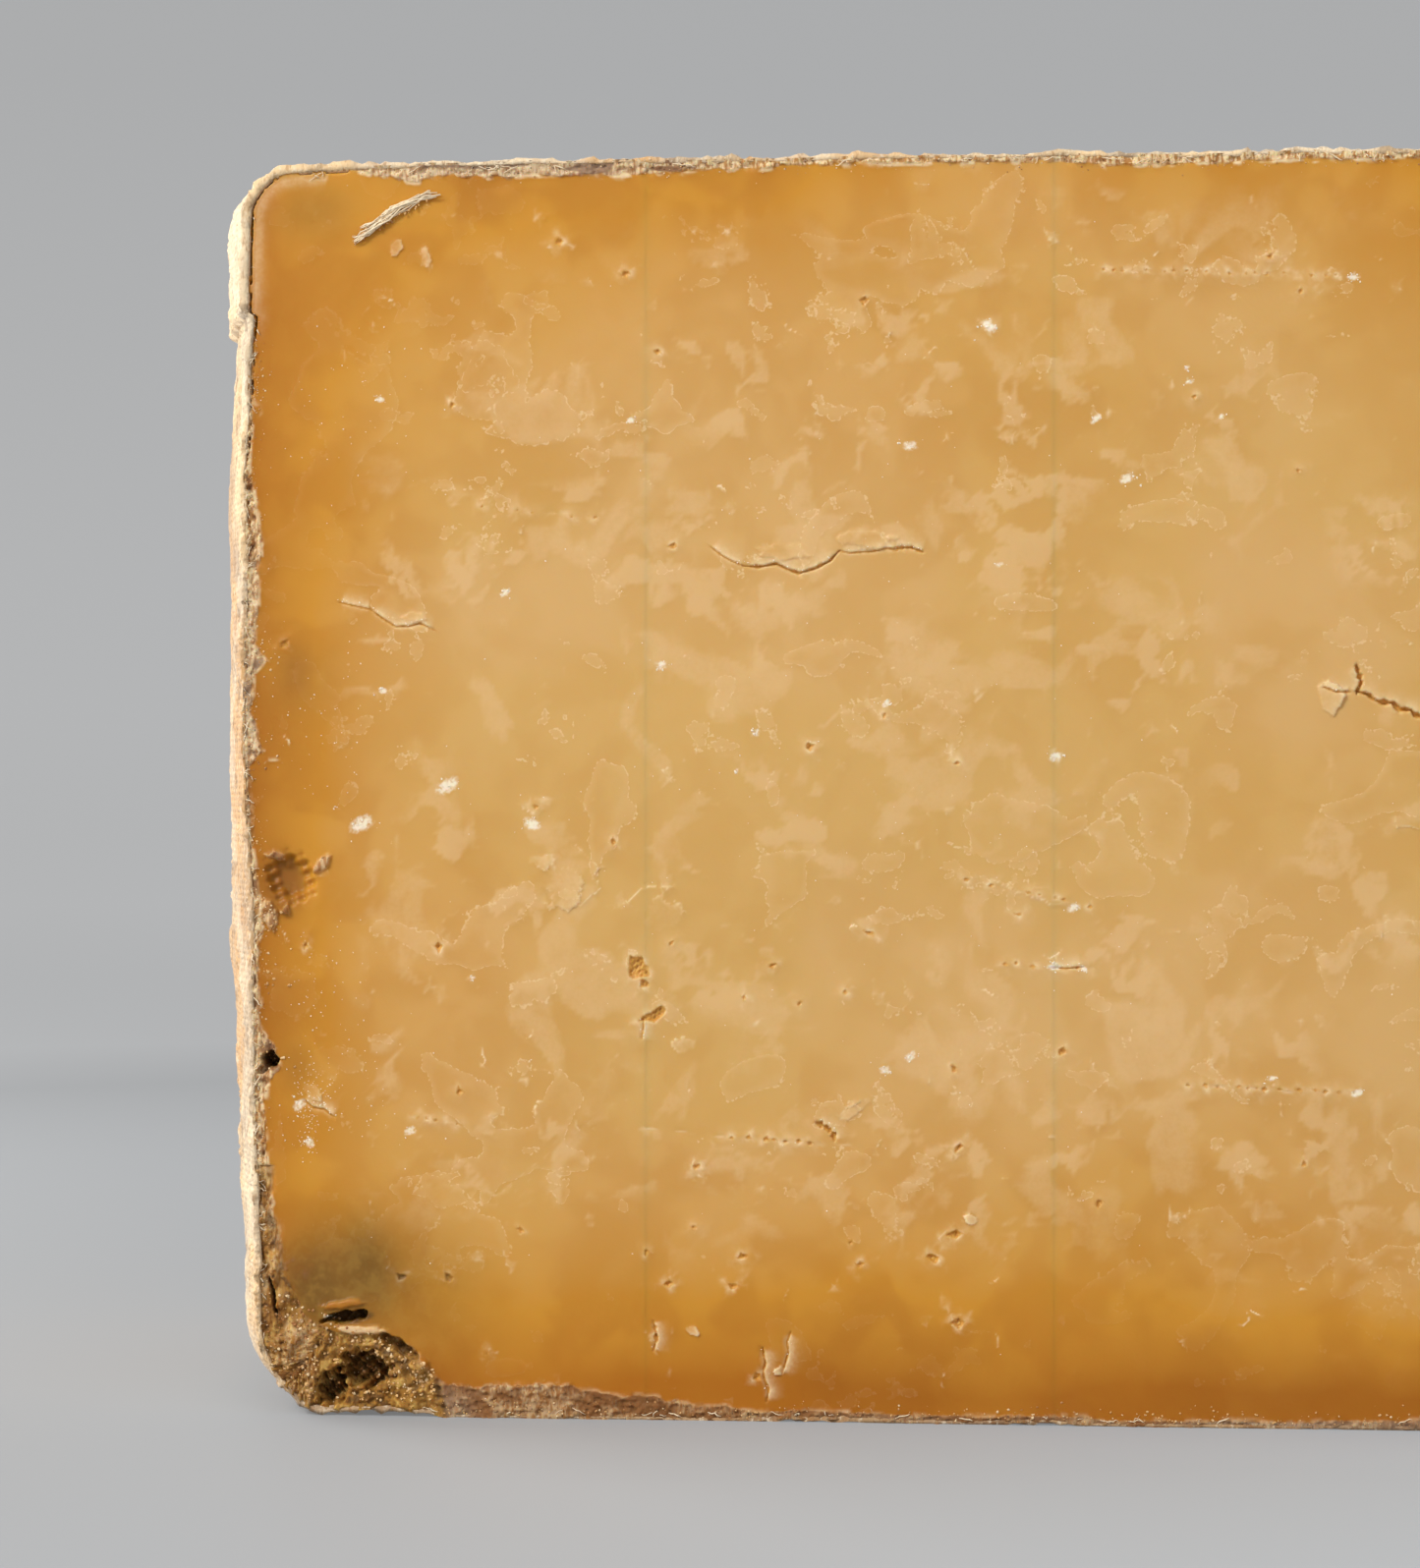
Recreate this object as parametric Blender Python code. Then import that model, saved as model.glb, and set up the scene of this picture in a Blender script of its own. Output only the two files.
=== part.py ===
"""A block of clothbound cheddar, cut straight across its wheel.

The front and the back are the two cut faces. The two ends, the top and the base are the
wheel's own rind, bound in cloth: a cap cloth laps down over the ends at the top and up at
the base. The front is at -Y, the block's length lies along X and it stands on Z = 0.
"""
import math
import random

import bmesh
import bpy
from mathutils import Matrix, Vector, noise

MM = 0.001

# Driving dimensions
HEIGHT = 130 * MM
WHEEL_RADIUS = 115 * MM
DEPTH = 80 * MM
TOP_CORNER = 5 * MM
BASE_CORNER = 10 * MM
CLOTH = 0.7 * MM
CLOTH_FADE = 23 * MM
CLOTH_LEFT = 0.25
TOP_LAP = 115 * MM
BASE_LAP = 15 * MM
LAP_EDGE = 0.3 * MM
BASE_CLOTH = 0.3 * MM
FOOT_LEAN = 1.4 * MM
FOOT_TOP = 66 * MM
TOP_SHOULDER = 0.6 * MM
SHOULDER_RUN = 25 * MM
BASE_LIFT = 1.3 * MM
BASE_RIM = 7 * MM
RIND_WAVE = 0.45 * MM
FACE_WAVE = 0.3 * MM

# Worked out from them
HALF_DEPTH = DEPTH / 2
HALF_CHORD = math.sqrt(WHEEL_RADIUS ** 2 - HALF_DEPTH ** 2)
MIDDLE = HEIGHT / 2

# The end's rind bulges this far past the edge of the cut face, seen from the front.
# Distances across a face are taken from that outermost line, and heights from the base.
BULGE_SEEN = 1.1 * MM

# Lattice of the solid: cells along the length, the depth and the height
CELLS_LONG = 26
CELLS_DEEP = 11
CELLS_HIGH = 17
# A pit wider than this gets a finer lump for its cutter
FINE_CHIP = 4.5

# Cracks in the front face: (points across and up, width, depth), in millimetres
FRONT_CRACKS = (
    (((49.7, 90.0), (53.1, 88.0), (56.5, 88.2), (58.8, 87.2), (61.9, 88.4), (63.4, 89.5), (72.2, 89.4)),
     0.6, 2.2),
    (((112.2, 75.4), (115.6, 75.8), (119.8, 73.1), (125.5, 71.6)), 1.5, 3.2),
    (((115.3, 77.6), (116.3, 75.2), (114.6, 73.2)), 1.1, 2.4),
    (((11.1, 84.5), (14.3, 83.7), (16.9, 81.9), (19.5, 82.2), (22.5, 82.5)), 0.5, 1.2),
    (((15.5, 122.4), (18.6, 119.3), (21.5, 118.1), (20.6, 121.0)), 0.6, 1.0),
    (((74.4, 121.3), (76.6, 118.8), (77.5, 117.2)), 0.6, 1.2),
    (((24.7, 8.2), (26.7, 7.1), (26.3, 5.3), (28.1, 4.1)), 0.6, 1.2),
    (((6.5, 33.8), (9.1, 31.9), (10.6, 30.7)), 0.5, 1.0),
    (((89.7, 36.7), (90.4, 35.3), (91.6, 33.4)), 0.5, 1.0),
    (((81.7, 33.6), (81.3, 32.5), (82.6, 30.8)), 0.5, 1.0),
    (((38.9, 30.0), (53.1, 29.0), (65.3, 28.3)), 0.3, 0.6),
    (((55.1, 8.0), (55.4, 5.0), (55.5, 2.0)), 0.6, 1.6),
    (((58.0, 9.2), (57.8, 7.2), (57.1, 4.9)), 0.6, 1.4),
    (((42.7, 41.5), (42.6, 38.8)), 0.5, 1.2),
    (((43.8, 10.4), (44.2, 8.5), (43.8, 6.8)), 0.6, 1.4),
    (((97.8, 34.9), (107.0, 34.5), (116.5, 34.2)), 0.4, 0.7),
)
# Openings and pits in the front face: (across, up, width, height, depth, turn in degrees)
FRONT_PITS = (
    (42.4, 46.6, 1.9, 3.6, 2.0, -20),
    (44.2, 41.6, 3.4, 1.4, 1.6, 25),
    (21.4, 48.7, 1.7, 1.7, 1.4, 0),
    (62.0, 29.9, 1.3, 2.6, 1.4, 35),
    (75.2, 28.3, 2.0, 1.0, 1.0, 20),
    (48.3, 26.2, 1.3, 1.3, 0.9, 40),
    (45.5, 14.0, 1.6, 1.1, 1.0, 0),
    (53.1, 16.9, 1.8, 0.9, 0.8, 10),
    (65.1, 16.2, 1.8, 0.9, 0.9, 30),
    (74.8, 19.4, 2.6, 1.3, 1.4, 20),
    (72.6, 17.0, 2.2, 1.2, 1.2, -15),
    (75.2, 10.5, 2.2, 1.3, 1.3, 10),
    (53.7, 4.7, 1.6, 1.3, 1.4, 0),
    (70.1, 89.6, 3.2, 1.4, 0.8, 0),
    (75.1, 67.7, 1.5, 1.1, 0.8, 0),
    (44.3, 110.0, 1.4, 1.4, 0.8, 0),
    (86.2, 46.6, 3.0, 0.9, 0.9, -5),
    (120.6, 62.2, 4.4, 3.2, 0.9, 0),
    (33.9, 120.8, 2.6, 2.2, 0.7, 20),
    (36.6, 117.4, 2.4, 1.4, 0.7, -30),
)
# Flakes that stand proud of the front face, in the same terms
FRONT_FLAKES = (
    (113.2, 74.2, 4.0, 3.2, 0.8, -20),
    (66.2, 90.8, 7.0, 2.6, 0.5, 0),
    (18.8, 83.6, 4.6, 1.8, 0.5, -15),
    (32.6, 55.6, 7.0, 5.0, 0.4, 10),
    (40.0, 52.4, 7.0, 3.6, 0.4, 25),
    (17.0, 122.6, 2.8, 2.2, 0.5, 30),
    (76.6, 20.8, 2.6, 1.6, 0.5, -30),
    (56.9, 4.2, 2.2, 2.2, 0.6, 45),
    (47.9, 9.3, 2.6, 1.4, 0.5, -20),
    (64.4, 32.6, 4.2, 2.2, 0.4, 25),
)
# The mouldy lower corner at the left of the front face: hollows, then crumbs left standing
CORNER_HOLLOWS = (
    (13.2, 5.4, 4.6, 3.8, 6.0, -35),
    (16.4, 3.6, 5.2, 3.6, 7.0, -10),
    (11.4, 9.8, 6.0, 1.7, 4.0, 0),
    (9.0, 6.2, 4.2, 3.0, 3.2, 30),
    (14.2, 13.6, 3.0, 1.7, 2.0, 10),
    (6.2, 15.0, 3.6, 2.0, 2.0, -25),
    (12.2, 21.2, 4.6, 1.5, 1.4, -10),
    (2.3, 12.6, 1.0, 5.2, 2.6, 12),
)
CORNER_CRUMBS = (
    (19.6, 4.6, 3.2, 2.6, 1.4, 10),
    (10.2, 10.9, 1.8, 1.5, 1.2, 0),
    (12.6, 8.1, 2.6, 1.3, 1.0, 25),
    (7.4, 9.2, 2.4, 2.0, 1.0, -30),
    (17.2, 7.6, 2.6, 1.4, 1.0, -20),
    (5.6, 4.4, 2.6, 2.2, 0.9, 15),
)
# Openings where the rind at the left has broken away
RIND_OPENINGS = (
    (2.9, 36.2, 1.8, 1.5, 2.6, 0),
    (4.4, 56.0, 2.4, 3.6, 2.0, 15),
    (3.4, 51.2, 1.6, 3.0, 1.4, -10),
    (16.6, 126.6, 3.6, 1.6, 1.6, 20),
)
# Frayed cloth lying on the face below the top edge: (points, width, how proud it stands)
FRAYED_CLOTH = (
    (((19.8, 128.0), (16.4, 125.8), (12.6, 122.6)), 1.1, 0.8),
    (((18.6, 127.4), (15.6, 124.2), (13.6, 123.4)), 0.8, 0.6),
)

# What the view doesn't show is finished alike, by a seeded draw
SEED = 21
SCATTER_CELL = 15 * MM
SCATTER_MARGIN = 9 * MM
SEEN_ACROSS = 122 * MM
HIDDEN_CRACKS_FRONT = ((150, 96), (186, 44), (168, 20))
HIDDEN_CRACKS_BACK = ((46, 40), (104, 92), (160, 66), (188, 16), (78, 12))
BACK_FLAKES = 8


def chord(depth_place):
    """Half the block's length at a place along its depth."""
    return math.sqrt(WHEEL_RADIUS ** 2 - depth_place ** 2)


def ramp(value, low, high):
    """0 below low, 1 above high, and smooth between them."""
    share = min(max((value - low) / (high - low), 0.0), 1.0)
    return share * share * (3 - 2 * share)


def wave(place, length, salt):
    """A smooth wave between -1 and 1 with the given length."""
    return noise.noise(place / length + Vector((salt, 3 * salt, 7 * salt))) * 1.6


def rounded(x, z):
    """Bring a point of the box's section onto the section with rounded corners."""
    at_top = z > MIDDLE
    radius = TOP_CORNER if at_top else BASE_CORNER
    past_x = abs(x) - (HALF_CHORD - radius)
    past_z = (z - (HEIGHT - radius)) if at_top else (radius - z)
    if past_x > 0 and past_z > 0:
        shrink = max(past_x, past_z) / math.hypot(past_x, past_z)
        lost_x = past_x * (1 - shrink)
        lost_z = past_z * (1 - shrink)
        x -= math.copysign(lost_x, x)
        z += -lost_z if at_top else lost_z
    return x, z


def shaped(box_point):
    """Where a point of the plain box lies on the real block."""
    x, y, z = box_point
    from_edge = max(abs(x) / HALF_CHORD, abs(z - MIDDLE) / MIDDLE)
    at_rind = ramp(from_edge, 0.8, 1.0)
    side_share = ramp(abs(x), HALF_CHORD - BASE_CORNER, HALF_CHORD)
    x, z = rounded(x, z)
    place = Vector((x, y, z))
    side = math.copysign(1.0, x)
    outward = RIND_WAVE * wave(place, 22 * MM, 2) + 0.5 * RIND_WAVE * wave(place, 9 * MM, 5)
    top_lap = ramp(z, TOP_LAP - LAP_EDGE, TOP_LAP + LAP_EDGE)
    base_lap = 1 - ramp(z, BASE_LAP - LAP_EDGE, BASE_LAP + LAP_EDGE)
    below_cap = CLOTH_LEFT + (1 - CLOTH_LEFT) * ramp(z, TOP_LAP - CLOTH_FADE, TOP_LAP)
    foot = FOOT_LEAN * (1 - ramp(z, 0, FOOT_TOP))
    inset = CLOTH * below_cap * (1 - top_lap) + foot - BASE_CLOTH * base_lap
    x += side * side_share * (outward - inset) * at_rind
    x *= chord(y) / HALF_CHORD
    top_share = ramp(z, MIDDLE, HEIGHT) * at_rind
    shoulder = TOP_SHOULDER * (1 - ramp(HALF_CHORD - abs(x), 0, SHOULDER_RUN))
    z -= top_share * (shoulder + abs(outward) * 0.8)
    near_face = ramp(abs(y), HALF_DEPTH - BASE_RIM, HALF_DEPTH)
    near_end = ramp(abs(x), HALF_CHORD - 3 * BASE_RIM, HALF_CHORD)
    near_rim = max(near_face, near_end)
    lift = BASE_LIFT * near_rim * max(wave(place, 17 * MM, 8) + 0.25, 0.0)
    z += lift * (1 - ramp(z, 0, 4 * BASE_RIM))
    if abs(abs(y) - HALF_DEPTH) < 0.01 * MM:
        y -= math.copysign(FACE_WAVE * (0.5 + 0.5 * wave(place, 34 * MM, 11)), y)
    return Vector((x, y, z))


def stations(low, high, cells, extra=()):
    """Evenly spaced cutting places, with extra ones that clear their neighbours."""
    step = (high - low) / cells
    even = [low + step * index for index in range(cells + 1)]
    kept = [place for place in even if all(abs(place - other) > 0.3 * step for other in extra)]
    return sorted(set(kept) | set(extra))


def sliced_block():
    """The plain box, sliced into a lattice and drawn to the block's shape."""
    mesh = bmesh.new()
    size = Matrix.Diagonal((2 * HALF_CHORD, DEPTH, HEIGHT, 1))
    bmesh.ops.create_cube(mesh, size=1, matrix=Matrix.Translation((0, 0, MIDDLE)) @ size)
    corner_x = HALF_CHORD - BASE_CORNER
    small_x = HALF_CHORD - TOP_CORNER
    laps = (BASE_LAP - 0.4 * MM, BASE_LAP + 0.4 * MM, TOP_LAP - 0.4 * MM, TOP_LAP + 0.4 * MM)
    edge_x = (-HALF_CHORD, -small_x, -corner_x, corner_x, small_x, HALF_CHORD)
    edge_z = (0.0, 3 * MM, BASE_CORNER, HEIGHT - TOP_CORNER, HEIGHT - 2 * MM, HEIGHT) + laps
    cuts = (
        stations(-HALF_CHORD, HALF_CHORD, CELLS_LONG, edge_x),
        stations(-HALF_DEPTH, HALF_DEPTH, CELLS_DEEP, (-HALF_DEPTH, HALF_DEPTH)),
        stations(0.0, HEIGHT, CELLS_HIGH, edge_z),
    )
    for axis, places in enumerate(cuts):
        normal = Vector((0, 0, 0))
        normal[axis] = 1.0
        for place in places[1:-1]:
            geometry = mesh.verts[:] + mesh.edges[:] + mesh.faces[:]
            spot = normal * place
            bmesh.ops.bisect_plane(mesh, geom=geometry, dist=1e-7, plane_co=spot, plane_no=normal)
    for vert in mesh.verts:
        vert.co = shaped(vert.co)
    bmesh.ops.triangulate(mesh, faces=mesh.faces[:])
    bmesh.ops.recalc_face_normals(mesh, faces=mesh.faces[:])
    return mesh


def new_object(name, mesh, collection):
    """An object in a collection from a bmesh."""
    data = bpy.data.meshes.new(name)
    mesh.to_mesh(data)
    mesh.free()
    thing = bpy.data.objects.new(name, data)
    collection.objects.link(thing)
    return thing


def on_face(across, up, side=-1):
    """A point on a cut face: side -1 is the front and 1 the back, where across runs the other way."""
    x = -HALF_CHORD - BULGE_SEEN + across * MM
    return Vector((-side * x, side * (HALF_DEPTH - FACE_WAVE / 2), up * MM))


def chip(name, spot, side, collection, draw, proud):
    """An angular lump with uneven sides that cuts a pit in a face or stands proud of it."""
    across, up, wide, high, deep, turn = spot
    mesh = bmesh.new()
    levels = 2 if max(wide, high) > FINE_CHIP and not proud else 1
    bmesh.ops.create_icosphere(mesh, subdivisions=levels, radius=1.0)
    reach = 2.0 if proud else 1.0
    for vert in mesh.verts:
        vert.co *= draw.uniform(0.82, 1.18) * MM / 2
        vert.co = Vector((vert.co.x * wide, vert.co.y * deep * reach, vert.co.z * high))
    turned = Matrix.Rotation(math.radians(turn * side), 4, "Y")
    placed = Matrix.Translation(on_face(across, up, side)) @ turned
    sunk = 0.5 * deep * MM if proud else 0.25 * deep * MM
    mesh.transform(Matrix.Translation((0, -side * sunk, 0)) @ placed)
    bmesh.ops.recalc_face_normals(mesh, faces=mesh.faces[:])
    return new_object(name, mesh, collection)


def closed_mesh(drawn):
    """The closed mesh of a drawn curve, which is then dropped."""
    bpy.context.view_layer.update()
    evaluated = drawn.evaluated_get(bpy.context.evaluated_depsgraph_get())
    mesh = bmesh.new()
    mesh.from_mesh(bpy.data.meshes.new_from_object(evaluated))
    bpy.data.objects.remove(drawn)
    bmesh.ops.remove_doubles(mesh, verts=mesh.verts[:], dist=1e-6)
    return mesh


def crack(name, line, side, collection, draw):
    """A blade of uneven width that cuts a crack along a line of points on a face."""
    points, wide, deep = line
    spots = [on_face(across, up, side) for across, up in points]
    upper = []
    lower = []
    for index, spot in enumerate(spots):
        before = spots[max(index - 1, 0)]
        after = spots[min(index + 1, len(spots) - 1)]
        along = (after - before).normalized()
        half = 0.5 * wide * MM * (0.3 if index in (0, len(spots) - 1) else draw.uniform(0.7, 1.3))
        across = Vector((along.z, 0, -along.x)) * half
        upper.append(spot + across)
        lower.append(spot - across)
    ring = upper + lower[::-1]
    outline = bpy.data.curves.new(name, "CURVE")
    outline.dimensions = "2D"
    outline.fill_mode = "BOTH"
    outline.extrude = deep * MM
    spline = outline.splines.new("POLY")
    spline.points.add(len(ring) - 1)
    for knot, spot in zip(spline.points, ring):
        knot.co = (spot.x, spot.z, 0, 1)
    spline.use_cyclic_u = True
    flat = bpy.data.objects.new(name, outline)
    collection.objects.link(flat)
    mesh = closed_mesh(flat)
    mesh.transform(Matrix.Translation((0, spots[0].y, 0)) @ Matrix.Rotation(math.radians(90), 4, "X"))
    bmesh.ops.recalc_face_normals(mesh, faces=mesh.faces[:])
    return new_object(name, mesh, collection)


def strand(name, line, collection):
    """A flattened strand of frayed cloth that lies on the front face."""
    points, wide, proud = line
    path = bpy.data.curves.new(name, "CURVE")
    path.dimensions = "3D"
    path.bevel_depth = wide * MM / 2
    path.bevel_resolution = 1
    path.use_fill_caps = True
    spline = path.splines.new("POLY")
    spline.points.add(len(points) - 1)
    for knot, (across, up) in zip(spline.points, points):
        spot = on_face(across, up)
        knot.co = (spot.x, spot.y - (proud - wide / 2) * MM, spot.z, 1)
    tube = bpy.data.objects.new(name, path)
    collection.objects.link(tube)
    mesh = closed_mesh(tube)
    bmesh.ops.recalc_face_normals(mesh, faces=mesh.faces[:])
    return new_object(name, mesh, collection)


def scattered_spots(side, draw):
    """Pits over the stretches of the cut faces that the view leaves out, one at most in each cell."""
    spots = []
    start = SEEN_ACROSS + SCATTER_MARGIN if side < 0 else SCATTER_MARGIN
    columns = int((2 * HALF_CHORD - SCATTER_MARGIN - start) / SCATTER_CELL)
    rows = int((HEIGHT - SCATTER_MARGIN) / SCATTER_CELL)
    for column in range(columns):
        for row in range(rows):
            across = (start + (column + draw.uniform(0.2, 0.8)) * SCATTER_CELL) / MM
            up = (SCATTER_MARGIN / 2 + (row + draw.uniform(0.2, 0.8)) * SCATTER_CELL) / MM
            chance = 0.7 - 0.35 * up * MM / HEIGHT
            if draw.random() < chance:
                wide = draw.uniform(1.1, 2.8)
                high = wide * draw.uniform(0.4, 1.0)
                spots.append((across, up, wide, high, wide * 0.5, draw.uniform(-50, 50)))
    return spots


def drawn_cracks(side, draw):
    """A few jagged cracks over the stretches that the view leaves out."""
    lines = []
    for across, up in HIDDEN_CRACKS_FRONT if side < 0 else HIDDEN_CRACKS_BACK:
        points = [(across, up)]
        for _ in range(draw.randint(3, 5)):
            last = points[-1]
            points.append((last[0] + draw.uniform(1.6, 3.6), last[1] + draw.uniform(-1.5, 1.3)))
        lines.append((tuple(points), draw.uniform(0.5, 0.9), draw.uniform(1.4, 2.4)))
    return lines


def corner_spots(draw, offset):
    """Smaller hollows for a lower corner that the view leaves out."""
    ranges = ((4, 16), (2.5, 9), (2, 4), (1.2, 2.4), (1.2, 2.2), (-40, 40))
    spots = []
    for _ in range(4):
        across, *rest = (draw.uniform(low, high) for low, high in ranges)
        spots.append((offset + across, *rest))
    return spots


def add_crags(body, collection, draw):
    """Join flakes, crumbs and frayed cloth to the body, then drop their own objects."""
    for index, spot in enumerate(FRONT_FLAKES + CORNER_CRUMBS):
        chip(f"flake_{index}", spot, -1, collection, draw, True)
    for index, line in enumerate(FRAYED_CLOTH):
        strand(f"frayed_cloth_{index}", line, collection)
    ranges = ((20, 195), (10, 118), (3, 6), (1.6, 3), (0.4, 0.5), (-40, 40))
    for index in range(BACK_FLAKES):
        spot = tuple(draw.uniform(low, high) for low, high in ranges)
        chip(f"back_flake_{index}", spot, 1, collection, draw, True)
    union = body.modifiers.new("crags", "BOOLEAN")
    union.operation = "UNION"
    union.operand_type = "COLLECTION"
    union.collection = collection
    union.solver = "EXACT"
    bpy.context.view_layer.update()
    evaluated = body.evaluated_get(bpy.context.evaluated_depsgraph_get())
    joined = bpy.data.meshes.new_from_object(evaluated)
    body.modifiers.clear()
    body.data = joined
    joined.name = body.name
    for thing in list(collection.objects):
        bpy.data.objects.remove(thing)
    bpy.data.collections.remove(collection)


def add_openings(body, collection, draw):
    """Cut the cracks, pits and broken places into the body."""
    for index, line in enumerate(FRONT_CRACKS):
        crack(f"front_crack_{index}", line, -1, collection, draw)
    for side, label in ((-1, "front"), (1, "back")):
        for index, line in enumerate(drawn_cracks(side, draw)):
            crack(f"{label}_drawn_crack_{index}", line, side, collection, draw)
        for index, spot in enumerate(scattered_spots(side, draw)):
            chip(f"{label}_drawn_pit_{index}", spot, side, collection, draw, False)
    for index, spot in enumerate(FRONT_PITS + CORNER_HOLLOWS + RIND_OPENINGS):
        chip(f"front_pit_{index}", spot, -1, collection, draw, False)
    far_corner = 2 * HALF_CHORD / MM - 20
    for index, spot in enumerate(corner_spots(draw, 0) + corner_spots(draw, far_corner)):
        chip(f"back_corner_{index}", spot, 1, collection, draw, False)
    for index, spot in enumerate(corner_spots(draw, far_corner)):
        chip(f"front_corner_{index}", spot, -1, collection, draw, False)
    for thing in collection.objects:
        thing.hide_render = True
        thing.display_type = "WIRE"
    cut = body.modifiers.new("openings", "BOOLEAN")
    cut.operation = "DIFFERENCE"
    cut.operand_type = "COLLECTION"
    cut.collection = collection
    cut.solver = "EXACT"


def cheese_material():
    """Pale tan paste of a mature cheddar."""
    material = bpy.data.materials.new("cheddar")
    material.use_nodes = True
    finish = material.node_tree.nodes["Principled BSDF"]
    finish.inputs["Base Color"].default_value = (0.62, 0.38, 0.14, 1)
    finish.inputs["Roughness"].default_value = 0.45
    finish.inputs["Metallic"].default_value = 0.0
    return material


def main():
    for thing in list(bpy.data.objects):
        bpy.data.objects.remove(thing)
    scene = bpy.context.scene
    parts = bpy.data.collections.new("cheddar_block")
    cutters = bpy.data.collections.new("cutters")
    crags = bpy.data.collections.new("crags")
    for collection in (parts, cutters, crags):
        scene.collection.children.link(collection)
    draw = random.Random(SEED)
    body = new_object("cheddar_block", sliced_block(), parts)
    add_crags(body, crags, draw)
    add_openings(body, cutters, draw)
    body.data.materials.clear()
    body.data.materials.append(cheese_material())


main()
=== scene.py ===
"""The looks of a block of clothbound cheddar: paste, rind, cloth, mould, crystals and crumbs."""
import math

import bmesh
import bpy
import numpy as np
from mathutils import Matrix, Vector, noise


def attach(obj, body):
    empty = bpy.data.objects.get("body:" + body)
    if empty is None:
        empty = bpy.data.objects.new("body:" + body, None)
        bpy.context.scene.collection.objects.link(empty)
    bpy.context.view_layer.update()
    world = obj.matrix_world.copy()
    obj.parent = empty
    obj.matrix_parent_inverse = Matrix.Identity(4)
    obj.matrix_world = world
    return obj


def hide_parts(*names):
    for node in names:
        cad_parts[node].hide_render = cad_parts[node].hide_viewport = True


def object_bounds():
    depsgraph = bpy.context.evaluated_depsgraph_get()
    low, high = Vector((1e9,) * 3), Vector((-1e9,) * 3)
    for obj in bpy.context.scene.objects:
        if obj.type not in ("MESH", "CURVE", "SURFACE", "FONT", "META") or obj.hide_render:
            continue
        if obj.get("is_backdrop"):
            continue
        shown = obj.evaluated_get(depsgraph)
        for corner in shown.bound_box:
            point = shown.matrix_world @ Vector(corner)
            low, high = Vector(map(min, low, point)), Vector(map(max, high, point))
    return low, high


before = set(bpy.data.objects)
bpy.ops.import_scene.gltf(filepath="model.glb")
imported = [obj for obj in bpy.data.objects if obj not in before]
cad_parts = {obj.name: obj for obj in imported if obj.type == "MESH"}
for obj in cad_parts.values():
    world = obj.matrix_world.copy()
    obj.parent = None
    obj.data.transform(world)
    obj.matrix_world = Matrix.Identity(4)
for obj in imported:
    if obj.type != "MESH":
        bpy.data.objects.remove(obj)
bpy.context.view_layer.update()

MM = 0.001

# The block's own sizes, as in its solid, in metres
HEIGHT = 130 * MM
WHEEL_RADIUS = 115 * MM
DEPTH = 80 * MM
TOP_CORNER = 5 * MM
BASE_CORNER = 10 * MM
CLOTH = 0.7 * MM
CLOTH_FADE = 23 * MM
CLOTH_LEFT = 0.25
TOP_LAP = 115 * MM
BASE_LAP = 15 * MM
LAP_EDGE = 0.3 * MM
BASE_CLOTH = 0.3 * MM
FOOT_LEAN = 1.4 * MM
FOOT_TOP = 66 * MM
TOP_SHOULDER = 0.6 * MM
SHOULDER_RUN = 25 * MM
BASE_LIFT = 1.3 * MM
BASE_RIM = 7 * MM
RIND_WAVE = 0.45 * MM
FACE_WAVE = 0.3 * MM
HALF_DEPTH = DEPTH / 2
HALF_CHORD = math.sqrt(WHEEL_RADIUS ** 2 - HALF_DEPTH ** 2)
MIDDLE = HEIGHT / 2
BULGE_SEEN = 1.1

# A cut face is painted on a fine lattice, in millimetres, and its mesh follows the painting
COARSE_LONG = 216
COARSE_HIGH = 130
LEVELS = 3
FINE = 2 ** LEVELS
FACE_LONG = 2 * HALF_CHORD / MM
FACE_HIGH = HEIGHT / MM

# The camera, fitted to the photograph's frame of 1445 by 1596 pixels
FRAME_HIGH = 1596
FOCAL_PIXELS = 3990
SENSOR = 36
CAMERA_TURN = math.radians(5.0)
CAMERA_AWAY = 403.4 * MM
AXIS_ACROSS = 49.7
CAMERA_UP = 65.55 * MM


def chord(depth_place):
    """Half the block's length at a place along its depth."""
    return math.sqrt(WHEEL_RADIUS ** 2 - depth_place ** 2)


def ramp(value, low, high):
    """0 below low, 1 above high, and smooth between them."""
    share = min(max((value - low) / (high - low), 0.0), 1.0)
    return share * share * (3 - 2 * share)


def wave(place, length, salt):
    """A smooth wave between -1 and 1 with the given length."""
    return noise.noise(place / length + Vector((salt, 3 * salt, 7 * salt))) * 1.6


def rounded(x, z):
    """Bring a point of the box's section onto the section with rounded corners."""
    at_top = z > MIDDLE
    radius = TOP_CORNER if at_top else BASE_CORNER
    past_x = abs(x) - (HALF_CHORD - radius)
    past_z = (z - (HEIGHT - radius)) if at_top else (radius - z)
    if past_x > 0 and past_z > 0:
        shrink = max(past_x, past_z) / math.hypot(past_x, past_z)
        lost_x = past_x * (1 - shrink)
        lost_z = past_z * (1 - shrink)
        x -= math.copysign(lost_x, x)
        z += -lost_z if at_top else lost_z
    return x, z


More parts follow.
